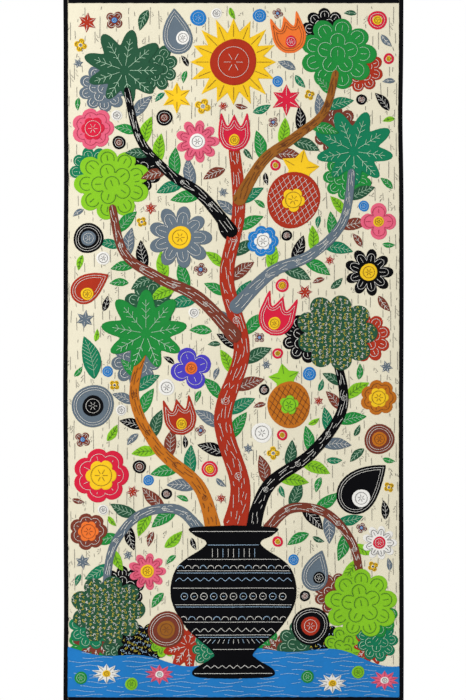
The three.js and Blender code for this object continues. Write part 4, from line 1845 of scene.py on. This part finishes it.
    @staticmethod
    def _room(open_cells: Array) -> Array:
        """Counts how far each open cell lies from the nearest one that isn't.

        Args:
            open_cells: Which cells are open.

        Returns:
            The count of cells, or 0 where one isn't open.
        """
        room, layer, diagonal = np.zeros(open_cells.shape), open_cells.copy(), False
        while layer.any():
            room += layer
            shrunk = layer.copy()
            for axis in (0, 1):
                for way in (-1, 1):
                    shrunk &= np.roll(shrunk if diagonal else layer, way, axis)
            layer, diagonal = shrunk, not diagonal
        return room

    def _vase(self) -> None:
        """Adds the vase with its stitched bands."""
        right = Outline.smooth(VASE, 8)
        piece = CutPiece("vase", Cloth.BLACK, Outline.mirrored(right))
        for k, row in enumerate(bands(right[np.argsort(right[:, 1])])):
            thread = Thread.ICE if k % 3 == 2 else Thread.WHITE
            piece.lines.append((row, Stitching(thread, 5.4, 1.0, 1.8)))
        self._add(piece)

    def _figure(self, figure: Figure) -> None:
        """Adds the layers of one figure with their needlework.

        Args:
            figure: The figure.
        """
        for number, layer in enumerate(LAYERS[figure.motif]):
            cloth = figure.second if layer.second else figure.cloth
            size = figure.size * layer.share
            piece = CutPiece(figure.name + ("", "_top", "_eye")[number], cloth,
                             figure.place(Outline.of(layer, size), layer.rise))
            if figure.group or (number and piece.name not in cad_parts):
                piece.part = f"{figure.group or 'heart'}_{cloth.label}"
            for k, line in enumerate(worked(layer, size, piece.outline)):
                placed = line if layer.work is Work.ECHO else figure.place(line, layer.rise)
                piece.lines.append((placed, self._sewn(cloth, layer.work, k)))
            self._add(piece)

    def _sewn(self, cloth: Cloth, work: Work, k: int) -> Stitching:
        """Chooses how a line is sewn.

        Args:
            cloth: The cloth that it is sewn on.
            work: What it is part of.
            k: Its number.

        Returns:
            Its thread and stitch.
        """
        finish = CLOTHS[cloth]
        thread = finish.thread
        if work is Work.SEEDS:
            thread = finish.tick if k % 4 < 2 else Thread.GOLD
        return Stitching(thread, *(self.COARSE if work in (Work.SCALES, Work.TWIGS) else self.FINE))


@dataclass
class Needlework:
    """Every hand stitch: dashes and motifs, slip stitches on the turned edges, and their backs.

    Attributes:
        relief: Raster of what lies on the ground.
        drape: Depth of the hanging cloth.
        seed: Seed of the small unevenness of the hand.
        backs: One in how many runs of the thread on the back is built.
        rows: Ends and width of the stitches, by their course and their thread or cloth.
    """

    relief: Relief
    drape: Drape
    seed: int = 5
    backs: int = 2
    rows: dict[tuple[Course, Thread | Cloth], list[Array]] = field(default_factory=dict)

    SECTIONS = {Course.THREAD: 4, Course.BACK: 2, Course.SLIP: 3}
    RAIN = Stitching(Thread.CHARCOAL, 7.6, 0.8, 1.1)
    SLIP_PITCH = 7.5
    SLIP_WIDTH = 0.45

    def __post_init__(self) -> None:
        """Starts the unevenness."""
        self.chance = np.random.default_rng(self.seed)

    def _keep(self, kind: tuple[Course, Thread | Cloth], ends: Array, width: float) -> None:
        """Stores stitches of one course and thread, or of one course and the cloth that they match."""
        if len(ends):
            self.rows.setdefault(kind, []).append(np.insert(ends, 4, width, axis=1))

    def _run(self, line: Array, sewn: Stitching, owner: int) -> None:
        """Sews along a line, where the owner's cloth shows.

        Args:
            line: Points of the line.
            sewn: How it is sewn.
            owner: Number of the piece that is sewn on, or 0 for the ground.
        """
        length = measured(line)
        total = length[-1]
        count = max(1, round((total + sewn.gap) / (sewn.stitch + sewn.gap)))
        pitch = (total + sewn.gap) / count
        first = np.arange(count) * pitch + self.chance.uniform(-0.09, 0.09, count) * sewn.stitch
        start, end = (read_at(np.clip(places, 0, total), length, line)
                      for places in (first, first + pitch - sewn.gap))
        shake = self.chance.normal(0, 0.18, start.shape)
        start, end = start + shake, end - shake
        reach = (end - start) * 0.12
        shown = np.abs(start[:, 0]) < FIELD_SIDE - 2
        shown &= np.minimum(start[:, 1], end[:, 1]) > -HEIGHT + BINDING_WIDTH + 2
        shown &= np.maximum(start[:, 1], end[:, 1]) < -BINDING_WIDTH - 2
        for spot in (start - reach, end + reach, (start + end) / 2):
            shown &= self.relief.owners(spot) == owner
        self._keep((Course.THREAD, sewn.thread), np.hstack([start, end])[shown], sewn.width)
        both = shown[:-1] & shown[1:]
        left, entered = end[:-1][both][::self.backs], start[1:][both][::self.backs]
        apart = np.maximum(np.linalg.norm(entered - left, axis=1), 0.1)[:, None]
        reach = (entered - left) / apart * 0.7
        self._keep((Course.BACK, sewn.thread), np.hstack([left - reach, entered + reach]), sewn.width * 0.8)

    def _slip(self, piece: CutPiece) -> None:
        """Sews small slanting stitches over a piece's turned edge.

        Args:
            piece: The piece.
        """
        closed, normals = (np.concatenate([rows, rows[:1]])
                           for rows in (piece.outline, Outline.normals(piece.outline)))
        length = measured(closed)
        places = np.arange(3.0, length[-1] - 2, self.SLIP_PITCH)
        places = places + self.chance.uniform(-1.0, 1.0, len(places))
        at, out = read_at(places, length, closed), read_at(places, length, normals)
        slant = np.stack([-out[:, 1], out[:, 0]], 1) * self.chance.uniform(0.15, 0.45, (len(at), 1))
        start, end = at - out * 1.3 - slant, at + out * 0.12 + slant
        beyond = self.relief.owners(at + out * 1.6)
        shown = (self.relief.owners(at - out * 1.6) == piece.number) & (beyond < piece.number)
        self._keep((Course.SLIP, piece.cloth), np.hstack([start, end])[shown], self.SLIP_WIDTH)
        self._keep((Course.BACK, Thread.WHITE), np.hstack([end, at + slant * 8])[shown][::2], 0.6)

    def sew(self, pieces: list[CutPiece]) -> None:
        """Sews the ground's dashes and every piece's lines and edge.

        Args:
            pieces: The cut pieces.
        """
        for line in rain(31):
            self._run(line, self.RAIN, 0)
        for piece in pieces:
            for line, sewn in piece.lines:
                self._run(line, sewn, piece.number)
            self._slip(piece)

    def build(self, dyes: Dyehouse) -> list[Object]:
        """Makes one object of stitches for each course and thread.

        Args:
            dyes: Where the materials come from.

        Returns:
            The objects.
        """
        tree = StitchTree()
        made = []
        for (course, shade), entries in self.rows.items():
            rows = np.concatenate(entries)
            start, end, width = rows[:, 0:2], rows[:, 2:4], rows[:, 4]
            material = dyes.matching(shade) if course is Course.SLIP else dyes.thread(shade)
            outward, further = (1.0, np.maximum) if course is Course.BACK else (-1.0, np.minimum)
            middle = (start + end) / 2
            first, centre, last = (self._depth(spot, width, course) for spot in (start, middle, end))
            level = further((first + last) / 2, centre)
            points = np.stack([middle[:, 0], level, middle[:, 1]], 1) * MM
            along = np.stack([end[:, 0] - start[:, 0], last - first, end[:, 1] - start[:, 1]], 1) * MM
            sides = np.tile((0.0, outward, 0.0), (len(points), 1))
            spots = MeshPart(points, [], {"run": along, "side": sides, "thick": width * MM})
            piece = spots.piece(f"stitches_{course.label}_{shade.label}", material)
            settings = {"Sections": self.SECTIONS[course], "Seed": self.seed, "Thread": material}
            made.append(tree.realise(piece, settings))
        return made

    def _depth(self, spots: Array, width: Array, course: Course) -> Array:
        """Finds the depth of thread on the face that it lies on.

        Args:
            spots: Places on the thread, rows of x, z.
            width: Its width.
            course: Its course.

        Returns:
            Its y in millimetres.
        """
        face = self.drape.front(spots[:, 0], spots[:, 1])
        if course is Course.BACK:
            return face + GROUND_CLOTH + 0.25 * width
        return face - self.relief.lift(spots) - 0.25 * width


class StitchTree:
    """Geometry Nodes that lay one bowed, tapered stitch on every point of a mesh."""

    # Inputs of the tree: kind, default
    INPUTS = {
        "Rise": ("Float", 0.22), "Sides": ("Int", 3), "Sections": ("Int", 4), "Unevenness": ("Float", 0.12),
        "Seed": ("Int", 0), "Thread": ("Material", None),
    }

    def __init__(self) -> None:
        """Builds the tree, with named inputs for the stitch's shape."""
        self.tree = bpy.data.node_groups.new("Hand stitches", "GeometryNodeTree")
        sockets = self.tree.interface
        sockets.new_socket("Geometry", in_out="INPUT", socket_type="NodeSocketGeometry")
        for label, (kind, _) in self.INPUTS.items():
            sockets.new_socket(label, in_out="INPUT", socket_type=f"NodeSocket{kind}")
        sockets.new_socket("Geometry", in_out="OUTPUT", socket_type="NodeSocketGeometry")
        bench = NodeBench(self.tree)
        start = bench.add("NodeGroupInput").outputs
        run, side, thick = (
            bench.add("GeometryNodeInputNamedAttribute", {"Name": name}, data_type=kind).outputs[0]
            for name, kind in (("run", "FLOAT_VECTOR"), ("side", "FLOAT_VECTOR"), ("thick", "FLOAT")))
        turn = bench.add("FunctionNodeAxesToRotation", {"Primary Axis": run, "Secondary Axis": side},
                         primary_axis="X", secondary_axis="Z")
        length = bench.add("ShaderNodeVectorMath", {0: run}, operation="LENGTH").outputs["Value"]
        spread = bench.add("FunctionNodeRandomValue", {
            2: bench.sum("SUBTRACT", 1.0, start["Unevenness"]), 3: bench.sum("ADD", 1.0, start["Unevenness"]),
            "Seed": start["Seed"]}, data_type="FLOAT").outputs[1]
        width = bench.sum("MULTIPLY", thick, spread)
        scale = bench.add("ShaderNodeCombineXYZ", {0: length, 1: width, 2: width})
        laid = bench.add("GeometryNodeInstanceOnPoints", {
            "Points": start["Geometry"], "Instance": self._one_stitch(bench, start),
            "Rotation": turn.outputs[0], "Scale": scale.outputs[0]})
        real = bench.add("GeometryNodeRealizeInstances", {"Geometry": laid.outputs[0]})
        dressed = {"Geometry": real.outputs[0], "Material": start["Thread"]}
        bench.add("NodeGroupOutput", {0: bench.add("GeometryNodeSetMaterial", dressed).outputs[0]})

    @staticmethod
    def _one_stitch(bench: NodeBench, start: Sockets) -> NodeSocket:
        """Builds one stitch of unit length and width along X.

        Args:
            bench: Bench on the tree.
            start: Outputs of the tree's input node.

        Returns:
            The stitch's geometry.
        """
        line = bench.add("GeometryNodeCurvePrimitiveLine", {"Start": (-0.5, 0, 0), "End": (0.5, 0, 0)})
        cut = {"Curve": line.outputs[0], "Count": start["Sections"]}
        spaced = bench.add("GeometryNodeResampleCurve", cut)
        share = bench.add("GeometryNodeSplineParameter").outputs["Factor"]
        bow = bench.sum("MULTIPLY", bench.sum("MULTIPLY", share, bench.sum("SUBTRACT", 1.0, share)), 4.0)
        up = bench.sum("MULTIPLY", bow, start["Rise"])
        apart = bench.sum("MULTIPLY", bench.sum("MULTIPLY", bench.sum("SUBTRACT", share, 0.5), bow), 1.3)
        offset = bench.add("ShaderNodeCombineXYZ", {0: apart, 2: up})
        moved = {"Geometry": spaced.outputs[0], "Offset": offset.outputs[0]}
        bent = bench.add("GeometryNodeSetPosition", moved)
        radius = bench.sum("MULTIPLY_ADD", bench.sum("SQRT", bow), 0.24, 0.32)
        sized = bench.add("GeometryNodeSetCurveRadius", {"Curve": bent.outputs[0], "Radius": radius})
        section = bench.add("GeometryNodeCurvePrimitiveCircle", {"Resolution": start["Sides"], "Radius": 1.0})
        tube = bench.add("GeometryNodeCurveToMesh", {
            "Curve": sized.outputs[0], "Profile Curve": section.outputs[0], "Fill Caps": True})
        if "Scale" in tube.inputs:
            bench.join(tube.inputs["Scale"], radius)
        return bench.add("GeometryNodeSetShadeSmooth", {"Geometry": tube.outputs[0]}).outputs[0]

    def realise(self, piece: Object, settings: dict) -> Object:
        """Runs the tree on an object and keeps only the resulting mesh.

        Args:
            piece: Object whose points carry the stitches.
            settings: Values of the tree's inputs by name, where they aren't the defaults.

        Returns:
            The same object with the finished mesh and no modifier.
        """
        modifier = piece.modifiers.new("stitches", "NODES")
        modifier.node_group = self.tree
        sockets = self.tree.interface.items_tree
        names = {item.name: item.identifier for item in sockets if item.in_out == "INPUT"}
        defaults = {label: default for label, (_, default) in self.INPUTS.items()}
        for label, value in {**defaults, **settings}.items():
            modifier[names[label]] = value
        evaluated = piece.evaluated_get(bpy.context.evaluated_depsgraph_get())
        mesh = bpy.data.meshes.new_from_object(evaluated)
        piece.modifiers.remove(modifier)
        piece.data = mesh
        return piece


@dataclass
class Studio:
    """Pale floor, white surroundings, soft light and the camera.

    Attributes:
        frame_px: Size of the photograph's frame in pixels.
        mm_per_px: Size of a pixel at the hanging.
        distance: Distance of the camera from the hanging in metres.
        middle_px: Pixel column on which the hanging is centred.
        sensor: Height of the camera's sensor.
        drop: How far the floor lies below the hem in metres.
        lamp_size: Width and height of the lamp in metres.
        lamp_power: Power of the lamp in watts.
    """

    frame_px: tuple[int, int] = (466, 700)
    mm_per_px: float = 2.647
    distance: float = 9.0
    middle_px: float = 233.5
    sensor: float = 24.0
    drop: float = 0.25
    lamp_size: tuple[float, float] = (1.2, 1.8)
    lamp_power: float = 95.0

    def build(self) -> None:
        """Builds the studio and sets the scene's camera."""
        self._floor()
        self._light()
        camera = bpy.data.cameras.new("camera")
        camera.sensor_fit = "VERTICAL"
        camera.sensor_height = self.sensor
        camera.lens = self.sensor * self.distance / (self.frame_px[1] * self.mm_per_px * MM)
        camera.clip_end = 60.0
        holder = bpy.data.objects.new("camera", camera)
        aside = (self.frame_px[0] / 2 - self.middle_px) * self.mm_per_px * MM
        holder.location = (aside, -self.distance, -HEIGHT / 2 * MM)
        holder.rotation_euler = (math.pi / 2, 0, 0)
        bpy.context.scene.collection.objects.link(holder)
        bpy.context.scene.camera = holder

    def _floor(self) -> None:
        """Adds the floor a little below the hem."""
        material, bench, surface = Dyehouse.surface("pale_floor", 0.9)
        noise = bench.noise(bench.add("ShaderNodeTexCoord").outputs["Object"], 3.0)
        tone = bench.sum("MULTIPLY_ADD", noise, 0.03, 0.84)
        colour = bench.add("ShaderNodeCombineColor", {0: tone, 1: tone, 2: tone})
        bench.join(surface["Base Color"], colour.outputs[0])
        level = -HEIGHT * MM - self.drop
        corners = np.array([(-2.4, -3.0, level), (2.4, -3.0, level), (2.4, 2.0, level), (-2.4, 2.0, level)])
        MeshPart(corners, [[0, 1, 2, 3]], {}).piece("floor", material)

    def _light(self) -> None:
        """Adds white surroundings and one soft lamp from the upper left."""
        scene = bpy.context.scene
        world = bpy.data.worlds.new("surroundings")
        world.use_nodes = True
        background = world.node_tree.nodes["Background"].inputs
        background["Color"].default_value = (1, 1, 1, 1)
        background["Strength"].default_value = 1.0
        scene.world = world
        scene.view_settings.view_transform = "Standard"
        lamp = bpy.data.lights.new("soft_lamp", "AREA")
        lamp.shape = "RECTANGLE"
        lamp.size, lamp.size_y = self.lamp_size
        lamp.energy = self.lamp_power
        holder = bpy.data.objects.new("soft_lamp", lamp)
        holder.location = (-2.6, -2.0, 0.6)
        aim = Vector((0.0, 0.0, -0.9)) - Vector(holder.location)
        holder.rotation_euler = aim.to_track_quat("-Z", "Y").to_euler()
        scene.collection.objects.link(holder)


def main() -> None:
    """Builds the hanging and the studio, and ties every piece to the frame."""
    logging.basicConfig(level=logging.INFO, format="%(message)s")
    dyes, drape, relief = Dyehouse(), Drape(), Relief()
    ground = Ground(drape).build(dyes)
    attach(ground, "root")
    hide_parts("ground")
    attached = []
    for side in Side:
        strip = Binding(side, drape).build(dyes)
        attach(strip, "root")
        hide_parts(f"binding_{side.label}")
        attached.append(strip)
    applique = Applique(relief, drape)
    for laid, (name, cloth) in zip(applique.build(dyes), applique.cloths.items()):
        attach(laid, "root")
        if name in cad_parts:
            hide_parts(name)
        attached.append(laid)
    needlework = Needlework(relief, drape)
    needlework.sew(applique.pieces)
    for stitches in needlework.build(dyes):
        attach(stitches, "root")
        attached.append(stitches)
    for piece in [ground, *attached]:
        LOG.info("%s: %d triangles", piece.name, sum(len(p.vertices) - 2 for p in piece.data.polygons))
    Studio().build()


if __name__ == "__main__":
    main()
